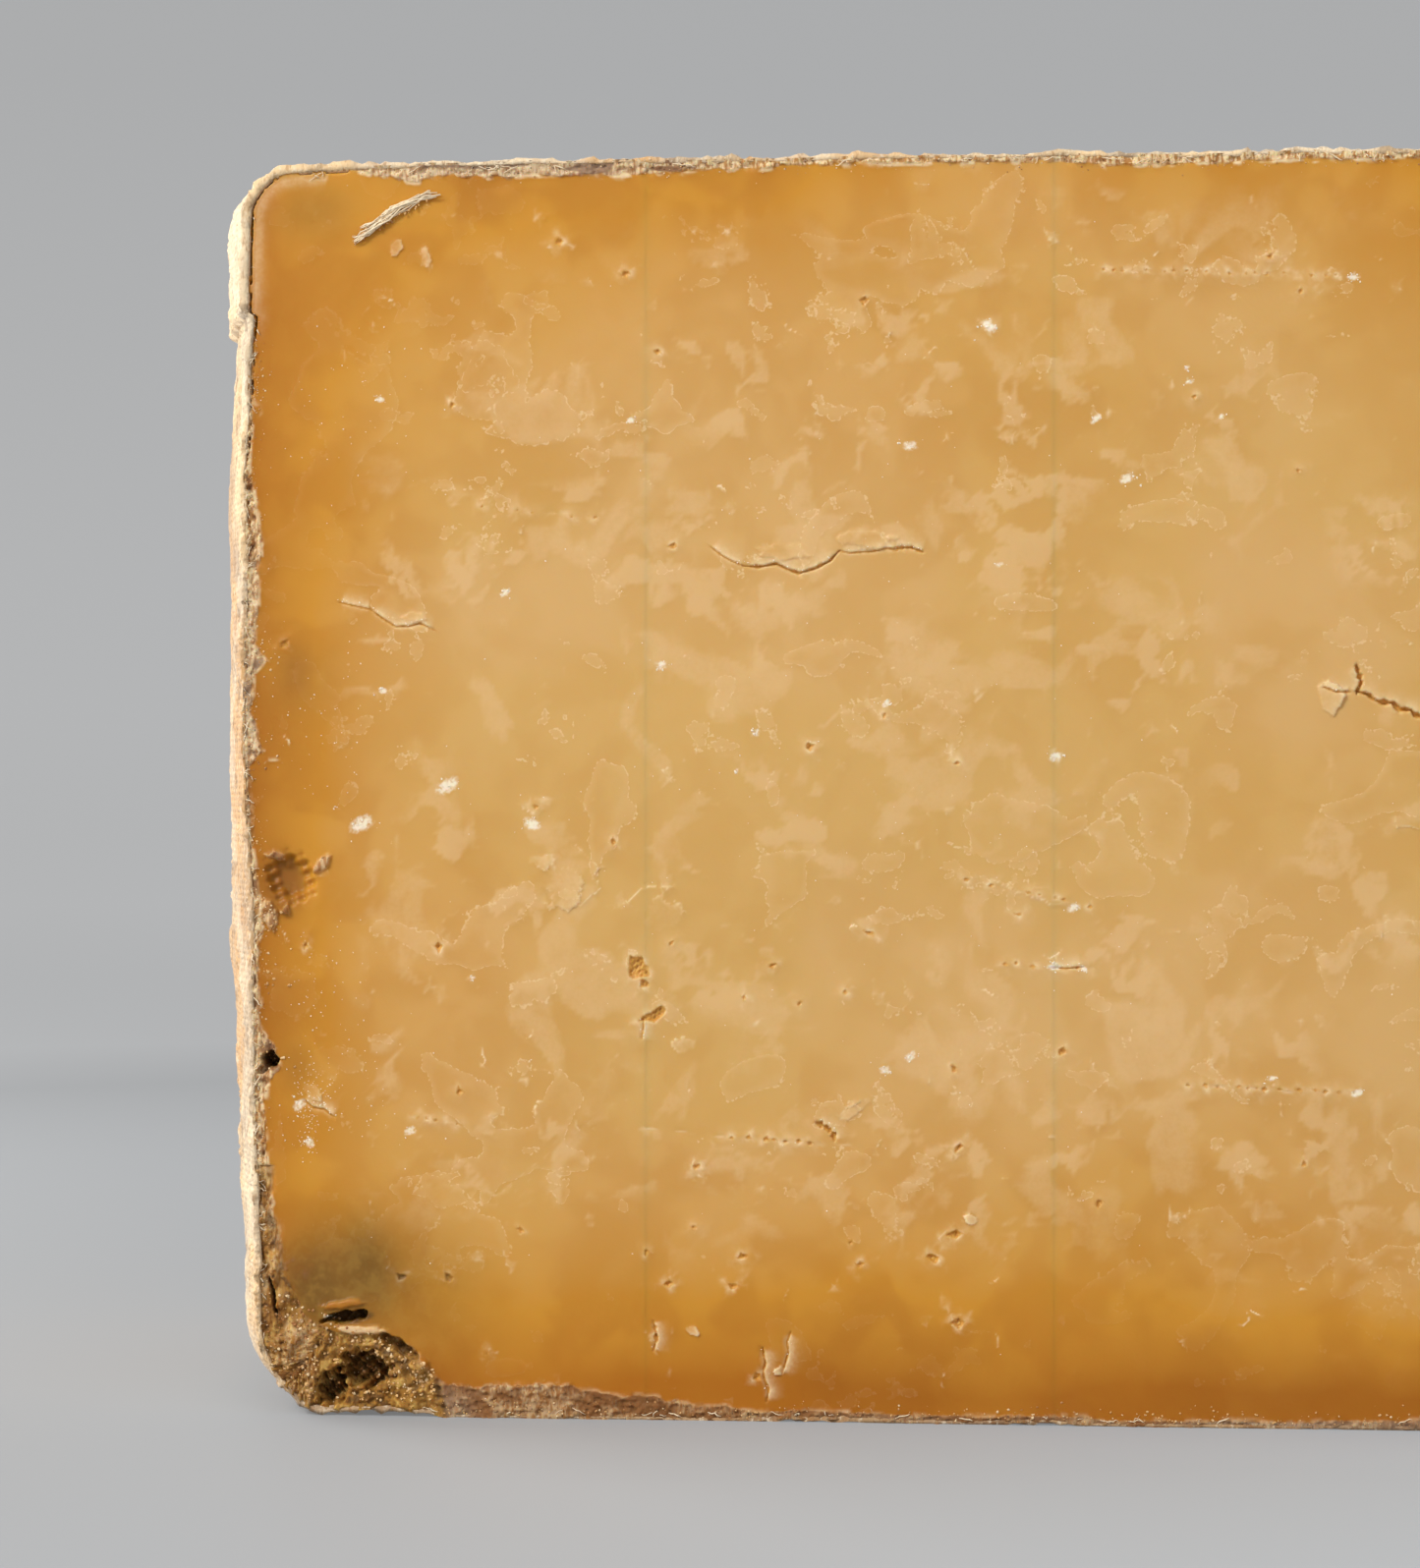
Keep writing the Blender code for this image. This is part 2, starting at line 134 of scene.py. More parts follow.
def shaped(box_point):
    """Where a point of the plain box lies on the real block."""
    x, y, z = box_point
    from_edge = max(abs(x) / HALF_CHORD, abs(z - MIDDLE) / MIDDLE)
    at_rind = ramp(from_edge, 0.8, 1.0)
    side_share = ramp(abs(x), HALF_CHORD - BASE_CORNER, HALF_CHORD)
    x, z = rounded(x, z)
    place = Vector((x, y, z))
    side = math.copysign(1.0, x)
    outward = RIND_WAVE * wave(place, 22 * MM, 2) + 0.5 * RIND_WAVE * wave(place, 9 * MM, 5)
    top_lap = ramp(z, TOP_LAP - LAP_EDGE, TOP_LAP + LAP_EDGE)
    base_lap = 1 - ramp(z, BASE_LAP - LAP_EDGE, BASE_LAP + LAP_EDGE)
    below_cap = CLOTH_LEFT + (1 - CLOTH_LEFT) * ramp(z, TOP_LAP - CLOTH_FADE, TOP_LAP)
    foot = FOOT_LEAN * (1 - ramp(z, 0, FOOT_TOP))
    inset = CLOTH * below_cap * (1 - top_lap) + foot - BASE_CLOTH * base_lap
    x += side * side_share * (outward - inset) * at_rind
    x *= chord(y) / HALF_CHORD
    top_share = ramp(z, MIDDLE, HEIGHT) * at_rind
    shoulder = TOP_SHOULDER * (1 - ramp(HALF_CHORD - abs(x), 0, SHOULDER_RUN))
    z -= top_share * (shoulder + abs(outward) * 0.8)
    near_face = ramp(abs(y), HALF_DEPTH - BASE_RIM, HALF_DEPTH)
    near_end = ramp(abs(x), HALF_CHORD - 3 * BASE_RIM, HALF_CHORD)
    near_rim = max(near_face, near_end)
    lift = BASE_LIFT * near_rim * max(wave(place, 17 * MM, 8) + 0.25, 0.0)
    z += lift * (1 - ramp(z, 0, 4 * BASE_RIM))
    if abs(abs(y) - HALF_DEPTH) < 0.01 * MM:
        y -= math.copysign(FACE_WAVE * (0.5 + 0.5 * wave(place, 34 * MM, 11)), y)
    return Vector((x, y, z))


# Fields over a lattice

def smooth(value, low, high):
    """0 at low, 1 at high and smooth between them, for whole arrays and for high below low too."""
    share = np.clip((value - low) / (high - low), 0.0, 1.0)
    return share * share * (3 - 2 * share)


def cloudy(across, up, length, seed, stretch=1.0):
    """Smooth noise between -1 and 1 over a lattice given by its columns and rows."""
    draw = np.random.default_rng(seed)
    columns = (across - across[0]) / (length * stretch)
    rows = (up - up[0]) / length
    grid = draw.uniform(-1, 1, (int(rows[-1]) + 3, int(columns[-1]) + 3))
    col = columns.astype(int)
    row = rows.astype(int)
    part_c = smooth(columns - col, 0, 1)[None, :]
    part_r = smooth(rows - row, 0, 1)[:, None]
    lower = grid[row][:, col] * (1 - part_c) + grid[row][:, col + 1] * part_c
    upper = grid[row + 1][:, col] * (1 - part_c) + grid[row + 1][:, col + 1] * part_c
    return lower * (1 - part_r) + upper * part_r


def grainy(across, up, length, seed, octaves=3, stretch=1.0):
    """Cloudy noise with finer noise added on top."""
    total = 0
    for octave in range(octaves):
        layer = cloudy(across, up, length / 2 ** octave, seed + 31 * octave, stretch)
        total = total + layer * 0.55 ** octave
    return total


class CutFace:
    """The painting of one cut face: relief in millimetres, proud of the face, and masks from 0 to 1.

    Places are (across, up) in millimetres: across from the outermost line of the left end, as seen
    looking at the face, and up from the base.
    """
    MASKS = (
        "near", "pale", "hollow", "white", "crust", "mould_and_shade", "brown",
        "fresh", "warm", "curd", "bits", "milk",
    )

    def __init__(self, seed):
        self.seed = seed
        self.draw = np.random.default_rng(seed)
        self.across = np.linspace(BULGE_SEEN, BULGE_SEEN + FACE_LONG, COARSE_LONG * FINE + 1)
        self.up = np.linspace(0, FACE_HIGH, COARSE_HIGH * FINE + 1)
        shape = (len(self.up), len(self.across))
        self.relief = np.zeros(shape)
        self.masks = {name: np.zeros(shape) for name in self.MASKS}
        self.x = np.broadcast_to(self.across[None, :], shape)
        self.z = np.broadcast_to(self.up[:, None], shape)
        self.left = self.x - BULGE_SEEN
        self.right = BULGE_SEEN + FACE_LONG - self.x
        self.top = FACE_HIGH - self.z
        self.ragged = 0.30 * self.bent(self.cloud(1.3, 30, octaves=4), 0.5, 1.0, 31)

    def cloud(self, length, salt, stretch=1.0, octaves=1):
        return grainy(self.across, self.up, length, self.seed * 101 + salt, octaves, stretch)

    def bent(self, field, far, length, salt):
        """A field pushed about by up to far millimetres, so that its shapes curl."""
        step = self.across[1] - self.across[0]
        rows, cols = np.indices(field.shape)
        rows = rows + (far / step * self.cloud(length, salt)).astype(int)
        cols = cols + (far / step * self.cloud(length, salt + 500)).astype(int)
        return field[np.clip(rows, 0, field.shape[0] - 1), np.clip(cols, 0, field.shape[1] - 1)]

    def window(self, low_x, low_z, high_x, high_z):
        """The part of the lattice inside a box, as a slice with its own places, or None."""
        c0, c1 = np.searchsorted(self.across, (low_x, high_x))
        r0, r1 = np.searchsorted(self.up, (low_z, high_z))
        if c1 - c0 < 2 or r1 - r0 < 2:
            return None
        part = (slice(r0, r1), slice(c0, c1))
        return part, self.x[part], self.z[part]

    def lighten(self, name, part, amount):
        layer = self.masks[name]
        layer[part] = np.clip(np.maximum(layer[part], amount), 0, 1)

    def along(self, path, reach):
        """Distance to a path, which side of it, and the share of its length, near the path."""
        points = np.array(path, float)
        low = points.min(0) - reach
        high = points.max(0) + reach
        found = self.window(low[0], low[1], high[0], high[1])
        if found is None:
            return None
        part, x, z = found
        best = np.full(x.shape, 1e9)
        side = np.zeros(x.shape)
        share = np.zeros(x.shape)
        steps = np.hypot(*np.diff(points, axis=0).T)
        total = steps.sum()
        run = 0.0
        for start, end, step in zip(points[:-1], points[1:], steps):
            way = (end - start) / step
            along = np.clip((x - start[0]) * way[0] + (z - start[1]) * way[1], 0, step)
            off_x = x - start[0] - along * way[0]
            off_z = z - start[1] - along * way[1]
            away = np.hypot(off_x, off_z)
            nearer = away < best
            best = np.where(nearer, away, best)
            side = np.where(nearer, np.sign(way[0] * off_z - way[1] * off_x), side)
            share = np.where(nearer, (run + along) / total, share)
            run += step
        return part, best, side, share, x, z

    def jagged(self, path, step=0.9, jitter=0.3):
        """A path with uneven points put in between its own."""
        made = [path[0]]
        for start, end in zip(path[:-1], path[1:]):
            length = math.hypot(end[0] - start[0], end[1] - start[1])
            count = max(int(length / step), 1)
            for index in range(1, count + 1):
                share = index / count
                wobble = jitter if index < count else 0.0
                made.append((
                    start[0] + (end[0] - start[0]) * share + self.draw.uniform(-wobble, wobble),
                    start[1] + (end[1] - start[1]) * share + self.draw.uniform(-wobble, wobble),
                ))
        return made

    def wander(self, start, heading, length, turn):
        """A path that bends unevenly as it goes."""
        made = [start]
        for _ in range(max(int(length / 0.8), 2)):
            heading += self.draw.uniform(-turn, turn)
            last = made[-1]
            made.append((last[0] + 0.8 * math.cos(heading), last[1] + 0.8 * math.sin(heading)))
        return made

    def lip(self, path, rise, reach, pale=0.7, side=1):
        """A torn edge: the paste stands proud on one side of the path and sinks back from it."""
        found = self.along(path, 2.2 * reach)
        if found is None:
            return
        part, away, which, share, _, _ = found
        fade = np.sqrt(np.clip(np.sin(np.pi * np.clip(share, 0, 1)), 0, 1))
        proud = (which * side > 0) * fade
        self.relief[part] += 0.6 * rise * proud * np.exp(-away / reach)
        glow = proud * (0.85 * np.exp(-((away / 0.13) ** 2)) + 0.35 * np.exp(-away / (0.6 * reach)))
        self.lighten("pale", part, pale * glow)

    def crack(self, path, width, depth, pale=0.75, side=1):
        """An open crack with thin pale lips, wider and paler on one side."""
        path = self.jagged(path)
        found = self.along(path, 3.0)
        if found is None:
            return
        part, away, which, share, x, z = found
        uneven = 0.75 + 0.45 * np.sin(share * 23 + x * 1.7) * np.sin(share * 9 + z)
        ends = smooth(np.minimum(share, 1 - share), 0, 0.12) * 0.75 + 0.25
        half = 0.4 * width * uneven * ends * (1 + 1.2 * self.ragged[part])
        open_part = smooth(away, half + 0.10, np.maximum(half - 0.1, 0.0))
        self.relief[part] -= 0.30 * depth * open_part
        upper = which * side > 0
        self.relief[part] += 0.16 * upper * np.exp(-away / 0.9) * (1 - open_part) * ends
        # painted shade: the open part is marked hollow, which the shader paints a deeper orange
        self.lighten("hollow", part, open_part)
        glow = (1 - open_part) * ends * np.where(upper, np.exp(-away / 1.0), 0.8 * np.exp(-away / 0.35))
        self.lighten("pale", part, pale * glow)

    def angular(self, spot, corners=5, margin=1.2):
        """How far outside an uneven angular outline a point lies, below 0 inside it, in half widths."""
        across, up, wide, high, turn = spot
        reach = margin + 0.5 * max(wide, high) * 1.4
        found = self.window(across - reach, up - reach, across + reach, up + reach)
        if found is None:
            return None
        part, x, z = found
        angle = math.radians(turn)
        u = ((x - across) * math.cos(angle) + (z - up) * math.sin(angle)) / (wide / 2)
        v = ((z - up) * math.cos(angle) - (x - across) * math.sin(angle)) / (high / 2)
        outside = np.full(x.shape, -1e9)
        start = self.draw.uniform(0, math.tau)
        for index in range(corners):
            way = start + math.tau * (index + self.draw.uniform(-0.25, 0.25)) / corners
            far = self.draw.uniform(0.55, 0.95)
            outside = np.maximum(outside, u * math.cos(way) + v * math.sin(way) - far)
        return part, outside + self.ragged[part] * 0.8, x, z

    def pit(self, across, up, wide, high, depth, turn, pale=0.8, corners=4):
        """A small angular opening with a pale rim; its inside is painted a deeper orange and browner towards
        its top, as painted shade.
        """
        found = self.angular((across, up, wide, high, turn), corners)
        if found is None:
            return
        part, outside, x, z = found
        scale = min(wide, high) / 2
        inside = smooth(outside * scale, 0.1, -0.12)
        floor = 0.75 + 0.4 * np.sin(x * 5 + z * 3) * np.sin(x * 11 - z * 7)
        self.relief[part] -= 0.30 * depth * smooth(outside, 0.1, -0.6) * floor
        self.relief[part] += 0.10 * np.exp(-np.maximum(outside * scale, 0) / 0.4) * (1 - inside)
        # painted shade: the inside browns towards its upper wall, which light from above leaves in shade
        self.lighten("brown", part, 0.25 * inside * smooth(z, up - 0.2 * high, up + 0.5 * high) * floor)
        halo = np.exp(-np.maximum(outside * scale, 0) / 1.1) * (1 - inside) * (0.6 + 1.2 * self.ragged[part])
        self.lighten("milk", part, 0.8 * halo)
        self.lighten("hollow", part, inside)
        uneven = 0.55 + 0.45 * np.sin(x * 3.1 + 1) * np.sin(z * 2.7)
        rim = uneven * np.exp(-np.maximum(outside * scale, 0) / 0.55)
        self.lighten("pale", part, pale * (1 - inside) * rim)

    def flake(self, across, up, wide, high, rise, turn, pale=0.45, lean=0.0):
        """A thin plate of paste, proud along one side and level with the face along the other."""
        found = self.angular((across, up, wide, high, turn), 6)
        if found is None:
            return
        part, outside, x, z = found
        scale = min(wide, high) / 2
        inside = smooth(outside * scale, 0.06, -0.08)
        way = math.radians(lean)
        leaning = (x - across) * math.cos(way) + (z - up) * math.sin(way)
        tilt = np.clip(0.5 + 0.5 * leaning / (0.6 * max(wide, high)), 0, 1)
        self.relief[part] += rise * inside * tilt
        rim = np.exp(-np.abs(outside * scale) / 0.16) * tilt
        self.lighten("pale", part, pale * inside * (0.35 + 0.65 * tilt) + 0.6 * rim * inside)

    def star(self, across, up, size, arms, turn, pale=0.6, pit=0.0, width=0.26):
        """A curd junction: pale concave arms that narrow as they leave its middle."""
        found = self.window(across - 1.3 * size, up - 1.3 * size, across + 1.3 * size, up + 1.3 * size)
        if found is None:
            return
        part, x, z = found
        shown = np.zeros(x.shape)
        for index in range(arms):
            way = math.radians(turn) + math.tau * (index + self.draw.uniform(-0.22, 0.22)) / arms
            long = size * self.draw.uniform(0.55, 1.15)
            bend = self.draw.uniform(-0.25, 0.25)
            u = (x - across) * math.cos(way) + (z - up) * math.sin(way)
            v = (z - up) * math.cos(way) - (x - across) * math.sin(way) + bend * u * u / long
            share = np.clip(u / long, -0.3, 1.0)
            half = width * size * (1 - np.abs(share)) ** 1.6 + 0.04
            within = (u < long) * (u > -0.3 * size)
            arm = 0.5 * smooth(np.abs(v), half + 0.10, half - 0.10) * within
            edge = smooth(np.abs(v - half), 0.14, 0.02) * within * (u > 0)
            shown = np.maximum(shown, np.maximum(arm, edge) * (1 - 0.45 * np.clip(share, 0, 1)))
        uneven = 0.7 + 0.3 * np.sin(x * 2.3 + z * 1.1)
        self.lighten("pale", part, pale * shown * uneven)
        self.relief[part] += 0.05 * shown
        if pit:
            self.pit(across, up, pit * 1.3, pit, pit * 0.8, turn, pale=pale)

    def scratch(self, path, depth=0.05, pale=0.3, width=0.14):
        """A fine line drawn across the face."""
        found = self.along(path, 1.0)
        if found is None:
            return
        part, away, _, share, x, z = found
        broken = 0.6 + 0.4 * np.sin(x * 2.1 + z * 3.3)
        ends = smooth(np.minimum(share, 1 - share), 0, 0.1)
        line = np.exp(-(away / width) ** 2) * broken * ends
        self.relief[part] -= depth * line
        self.lighten("pale", part, pale * line)

    def beads(self, path, gap, size, depth=0.25):
        """A row of tiny pits with pale rims along a line."""
        points = np.array(path, float)
        steps = np.hypot(*np.diff(points, axis=0).T)
        runs = np.concatenate(([0], np.cumsum(steps)))
        place = 0.0
        while place < runs[-1]:
            x = np.interp(place, runs, points[:, 0])
            z = np.interp(place, runs, points[:, 1]) + self.draw.uniform(-0.12, 0.12)
            wide = size * self.draw.uniform(0.5, 1.3)
            self.pit(x, z, wide * 1.3, wide, depth, self.draw.uniform(-20, 20), pale=0.75)
            place += gap * self.draw.uniform(0.5, 1.6)

    def blotch(self, name, across, up, wide, high, amount, soft=1.0, turn=0.0):
        """A soft spot in a mask."""
        reach = max(wide, high) * (0.5 + soft)
        found = self.window(across - reach, up - reach, across + reach, up + reach)
        if found is None:
            return
        part, x, z = found
        angle = math.radians(turn)
        u = ((x - across) * math.cos(angle) + (z - up) * math.sin(angle)) / (wide / 2)
        v = ((z - up) * math.cos(angle) - (x - across) * math.sin(angle)) / (high / 2)
        away = np.hypot(u, v)
        layer = self.masks[name]
        layer[part] = np.clip(layer[part] + amount * smooth(away, 1 + soft, max(1 - soft, 0.0)), 0, 1)

    def dent(self, across, up, wide, high, depth, soft=0.6, turn=0.0, rough=0.0):
        """A soft-edged hollow with a rough floor."""
        reach = max(wide, high) * (0.5 + soft)
        found = self.window(across - reach, up - reach, across + reach, up + reach)
        if found is None:
            return
        part, x, z = found
        angle = math.radians(turn)
        u = ((x - across) * math.cos(angle) + (z - up) * math.sin(angle)) / (wide / 2)
        v = ((z - up) * math.cos(angle) - (x - across) * math.sin(angle)) / (high / 2)
        ragged = 0.12 * np.sin(x * 4.1 + z * 1.3) + 0.1 * np.sin(z * 5.3 - x * 2.2)
        away = np.hypot(u, v) + ragged
        share = smooth(away, 1 + 0.5 * soft, 1 - 0.5 * soft)
        floor = 1 + rough * (np.sin(x * 3.7) * np.sin(z * 4.3) + 0.5 * np.sin(x * 9 + z * 8))
        self.relief[part] -= depth * share * floor

    def curd(self):
        """The curd pieces pressed together: two fields whose zero line is a crisp outline, and soft clouds.

        The fields are in millimetres, above 0 inside a milky piece; the clouds run from 0 to 1.
        """
        for name, length, level, few, salt in (("curd", 7.0, 0.34, 15, 81), ("bits", 2.6, 0.52, 8, 91)):
            field = self.cloud(length, salt, stretch=1.3, octaves=3)
            field = self.bent(field, 0.5 * length, length, salt + 1)
            here = smooth(self.cloud(few, salt + 3, octaves=2), -0.15, 0.45)
            self.masks[name] = np.clip((field - level) * length / 2.2 - 1.5 * (1 - here), -2, 3)
        lace = self.bent(self.cloud(3.0, 101, stretch=1.2, octaves=4), 1.6, 2.4, 102)
        spread = smooth(self.cloud(13, 103, octaves=2), -0.35, 0.45)
        milk = smooth(lace, 0.16, 0.75) * spread
        smear = self.bent(self.cloud(6.5, 105, octaves=4), 3.0, 6.0, 106)
        milk = np.maximum(milk, 0.7 * smooth(smear, 0.30, 0.80))
        self.masks["milk"] = np.maximum(self.masks["milk"], milk)
        fresh = self.bent(self.cloud(6.0, 14, octaves=3), 2.0, 5.0, 108)
        self.masks["fresh"] = np.clip(0.5 + 0.5 * fresh, 0, 1)
        self.masks["warm"] = np.clip(0.5 + 0.5 * self.cloud(21, 16, octaves=2), 0, 1)
        inside = smooth(self.masks["curd"], -0.1, 0.2) + 0.6 * smooth(self.masks["bits"], -0.1, 0.2)
        self.relief += 0.03 * inside + 0.03 * milk

    def waves(self):
        self.relief += 0.10 * self.cloud(24, 20)
        self.relief += 0.05 * self.cloud(9, 21, stretch=2.0)
        self.relief += 0.012 * self.cloud(3, 22, octaves=2)

    def tears(self, low, high, count):
        """Small torn lips over a stretch of the face, by a seeded draw."""
        for _ in range(count):
            x = self.draw.uniform(low, high)
            z = self.draw.uniform(3, FACE_HIGH - 4)
            heading = self.draw.uniform(0, math.tau)
            long = self.draw.uniform(0.9, 3.2)
            kind = self.draw.random()
            pale = self.draw.uniform(0.35, 0.8)
            if kind < 0.3:
                path = self.wander((x, z), heading, long, 1.1)
                self.lip(path, self.draw.uniform(0.05, 0.16), self.draw.uniform(0.4, 1.1), pale)
            elif kind < 0.9:
                size = self.draw.uniform(0.7, 2.1)
                self.star(x, z, size, int(self.draw.integers(3, 5)), self.draw.uniform(0, 120), pale * 0.85)
            else:
                size = self.draw.uniform(0.35, 0.9)
                self.star(x, z, 2.2 * size, 3, self.draw.uniform(0, 120), pale, pit=size)


def rind_section(face, left, right, top, base):
    """The cut rind round a face: cloth at the rim, crust and a ragged inner edge."""
    edge = np.minimum(np.minimum(face.left, face.right), np.minimum(face.z, face.top))
    ragged = 0.22 * face.cloud(1.1, 40, octaves=2) + 0.16 * face.cloud(3.0, 41)
    sides = (
        (face.left, np.interp(face.z, *zip(*left))),
        (face.right, np.interp(face.z, *zip(*right))),
        (face.top, np.interp(face.x, *zip(*top))),
        (face.z, np.interp(face.x, *zip(*base))),
    )
    crust = np.zeros(face.relief.shape)
    border = np.zeros(face.relief.shape)
    crumbling = smooth(face.cloud(1.6, 49, octaves=2), -0.25, 0.35)
    for (away, thick), strength in zip(sides, (0.75, 0.75, 0.95, 0.4)):
        edged = away + ragged * smooth(thick, 0.1, 1.2)
        crust = np.maximum(crust, smooth(edged, thick + 0.12, thick - 0.12))
        rim = smooth(edged, thick + 0.6, thick + 0.1) * (edged > thick - 0.1) * smooth(thick, 0.1, 0.5)
        border = np.maximum(border, rim * crumbling * strength)
    face.masks["pale"] = np.maximum(face.masks["pale"], 0.95 * border)
    face.relief += 0.10 * border
    face.masks["crust"] = np.maximum(face.masks["crust"], crust)
    stretched = np.where(
        np.minimum(face.left, face.right) < np.minimum(face.z, face.top),
        face.cloud(0.45, 42, stretch=0.7),
        face.cloud(0.3, 43, stretch=3.0),
    )
    bumps = 0.16 * stretched + 0.14 * face.cloud(0.8, 44, octaves=2) + 0.1 * face.cloud(0.33, 45)
    face.relief += crust * (bumps + 0.04)
    face.masks["brown"] = np.maximum(
        face.masks["brown"], crust * np.clip(0.35 + 0.5 * face.cloud(2.5, 46, octaves=3) - bumps, 0, 1)
    )
    in_top = crust * (face.top < 4) * (face.x > 12)
    scorched = smooth(face.x, 17, 21) * smooth(face.x, 52, 44)
    scorched = scorched + 0.35 * smooth(face.cloud(9, 50, stretch=3.0), 0.1, 0.6)
    lines = smooth(face.cloud(0.45, 51, stretch=9.0), 0.1, -0.3)
    browned = np.clip(0.85 * scorched * (0.45 + 0.75 * lines), 0, 1)
    face.masks["brown"] = face.masks["brown"] * (1 - in_top) + in_top * browned
    in_base = crust * (face.z < 4)
    face.masks["brown"] = np.clip(face.masks["brown"] + 0.35 * in_base, 0, 1)
    end = np.minimum(face.left, face.right)
    at_end = np.exp(-end / 12.0) * (0.82 + 0.16 * smooth(face.z, 90, 40))
    at_top = np.exp(-face.top / 17.0) * 0.55
    at_base = np.clip(np.exp(-face.z / 12.0) * 1.25, 0, 1)
    near = 1 - (1 - np.clip(at_end, 0, 1)) * (1 - at_top) * (1 - at_base)
    uneven = 0.16 * face.cloud(26, 47, octaves=2) * np.exp(-edge / 40.0) + 0.04 * face.cloud(60, 48)
    face.masks["near"] = np.clip(near + uneven, 0, 1)


# Things seen on the front face, in millimetres

LEFT_RIND = (
    (0, 3.0), (8, 3.0), (15, 2.2), (20, 1.6), (31, 1.2), (34, 1.4), (36, 3.0), (38.5, 2.2),
    (40, 0.7), (49, 0.6), (50, 1.0), (52, 0.8), (60, 0.4), (67, 0.5), (69, 1.8), (71, 1.5),
    (73, 0.8), (77, 1.0), (78.5, 2.0), (80, 1.4), (81, 1.2), (84, 1.2), (88, 1.5), (92, 1.5),
    (96, 0.9), (99, 0.5), (108, 0.45), (111, 0.3), (113, 0.0), (130, 0.0),
)
TOP_RIND = (
    (0, 0.0), (11, 0.0), (12, 0.3), (15, 1.0), (19, 1.8), (22, 1.2), (30, 1.5), (40, 1.6),
    (46, 1.1), (60, 0.7), (80, 0.6), (92, 1.0), (110, 0.9), (122, 0.8), (150, 1.2), (180, 0.9),
    (216, 1.2),
)
BASE_RIND = (
    (0, 3.2), (10, 4.0), (18, 2.5), (20, 3.2), (34, 3.4), (45, 2.0), (56, 0.9), (70, 0.8),
    (90, 0.6), (120, 0.8), (140, 1.8), (160, 1.0), (180, 1.6), (200, 2.6), (217, 3.0),
)
RIGHT_RIND = (
    (0, 3.0), (14, 3.0), (24, 1.6), (40, 1.0), (52, 1.8), (64, 0.7), (84, 1.3), (100, 0.6),
    (112, 0.3), (130, 0.2),
)

CRACKS = (
    # path, width, depth, which side has the wide lip
    (((49.7, 90.0), (51.7, 88.6), (53.1, 88.0)), 0.2, 0.4, 1),
    (
        ((53.1, 88.0), (54.8, 87.9), (56.5, 88.2), (57.7, 87.6), (58.8, 87.2), (60.5, 87.7), (61.9, 88.4),
         (63.0, 89.5)),
        0.34, 1.2, 1,
    ),
    (((63.0, 89.5), (66.4, 89.4), (69.0, 89.5)), 0.22, 0.5, 1),
    (((68.6, 89.7), (70.4, 89.8), (71.6, 89.3)), 0.4, 0.9, 1),
    (((115.5, 77.6), (116.0, 75.9), (115.5, 74.7)), 0.6, 1.8, -1),
    (((115.4, 75.0), (117.2, 74.2), (119.8, 73.1), (123.4, 71.8)), 0.6, 1.8, 1),
    (((112.2, 75.4), (113.4, 74.9), (114.9, 74.9)), 0.3, 0.7, 1),
    (((11.1, 84.5), (12.6, 84.1), (14.3, 83.7)), 0.16, 0.35, 1),
    (((14.3, 83.7), (15.5, 82.8), (16.9, 81.9), (18.4, 81.9), (19.5, 82.2), (21.0, 81.5)), 0.2, 0.5, 1),
    (((6.9, 32.8), (8.2, 31.9), (9.4, 31.8), (10.6, 30.9)), 0.24, 0.6, 1),
    (((55.1, 7.6), (55.4, 6.0), (55.5, 2.0)), 0.28, 0.9, 1),
    (((58.0, 9.2), (57.8, 7.2), (57.1, 4.9)), 0.24, 0.7, 1),
    (((42.8, 41.3), (42.6, 39.2)), 0.22, 0.5, 1),
    (((43.8, 10.2), (44.2, 8.5), (43.8, 7.1)), 0.3, 0.8, 1),
    (((84.6, 46.8), (86.2, 46.7), (87.9, 46.9)), 0.3, 0.6, 1),
    (((60.6, 30.8), (61.8, 30.2), (62.4, 29.6), (62.5, 28.9)), 0.7, 1.2, 1),
)
PITS = (
    # across, up, width, height, depth, turn
    (42.2, 46.8, 2.1, 2.7, 1.5, 20),
    (43.0, 44.9, 1.0, 1.2, 1.0, 10),
    (44.3, 41.8, 2.7, 1.2, 1.3, 28),
    (21.4, 48.7, 1.0, 1.3, 1.2, 0),
    (75.2, 28.3, 1.5, 0.8, 0.9, 35),
    (48.3, 26.2, 1.0, 0.9, 0.9, 0),
    (75.1, 67.7, 0.9, 0.6, 0.5, 0),
    (45.5, 14.0, 1.1, 0.8, 0.8, 0),
    (44.1, 8.6, 1.0, 0.9, 0.9, 40),
    (53.1, 16.9, 1.2, 0.6, 0.7, 10),
    (65.1, 16.2, 1.2, 0.7, 0.7, 30),
    (74.9, 19.4, 1.5, 1.0, 1.2, 20),
    (72.6, 17.0, 1.5, 0.8, 1.0, -15),
    (75.2, 10.5, 1.3, 0.9, 1.1, 10),
    (52.0, 13.9, 0.9, 0.6, 0.6, 0),
    (54.6, 4.6, 1.1, 0.9, 1.1, 0),
    (66.2, 50.2, 1.2, 0.5, 0.5, -15),
    (81.4, 52.2, 0.9, 0.5, 0.5, 0),
    (34.0, 121.6, 0.7, 1.2, 0.5, 10),
    (44.3, 110.1, 0.9, 0.9, 0.6, 0),
)
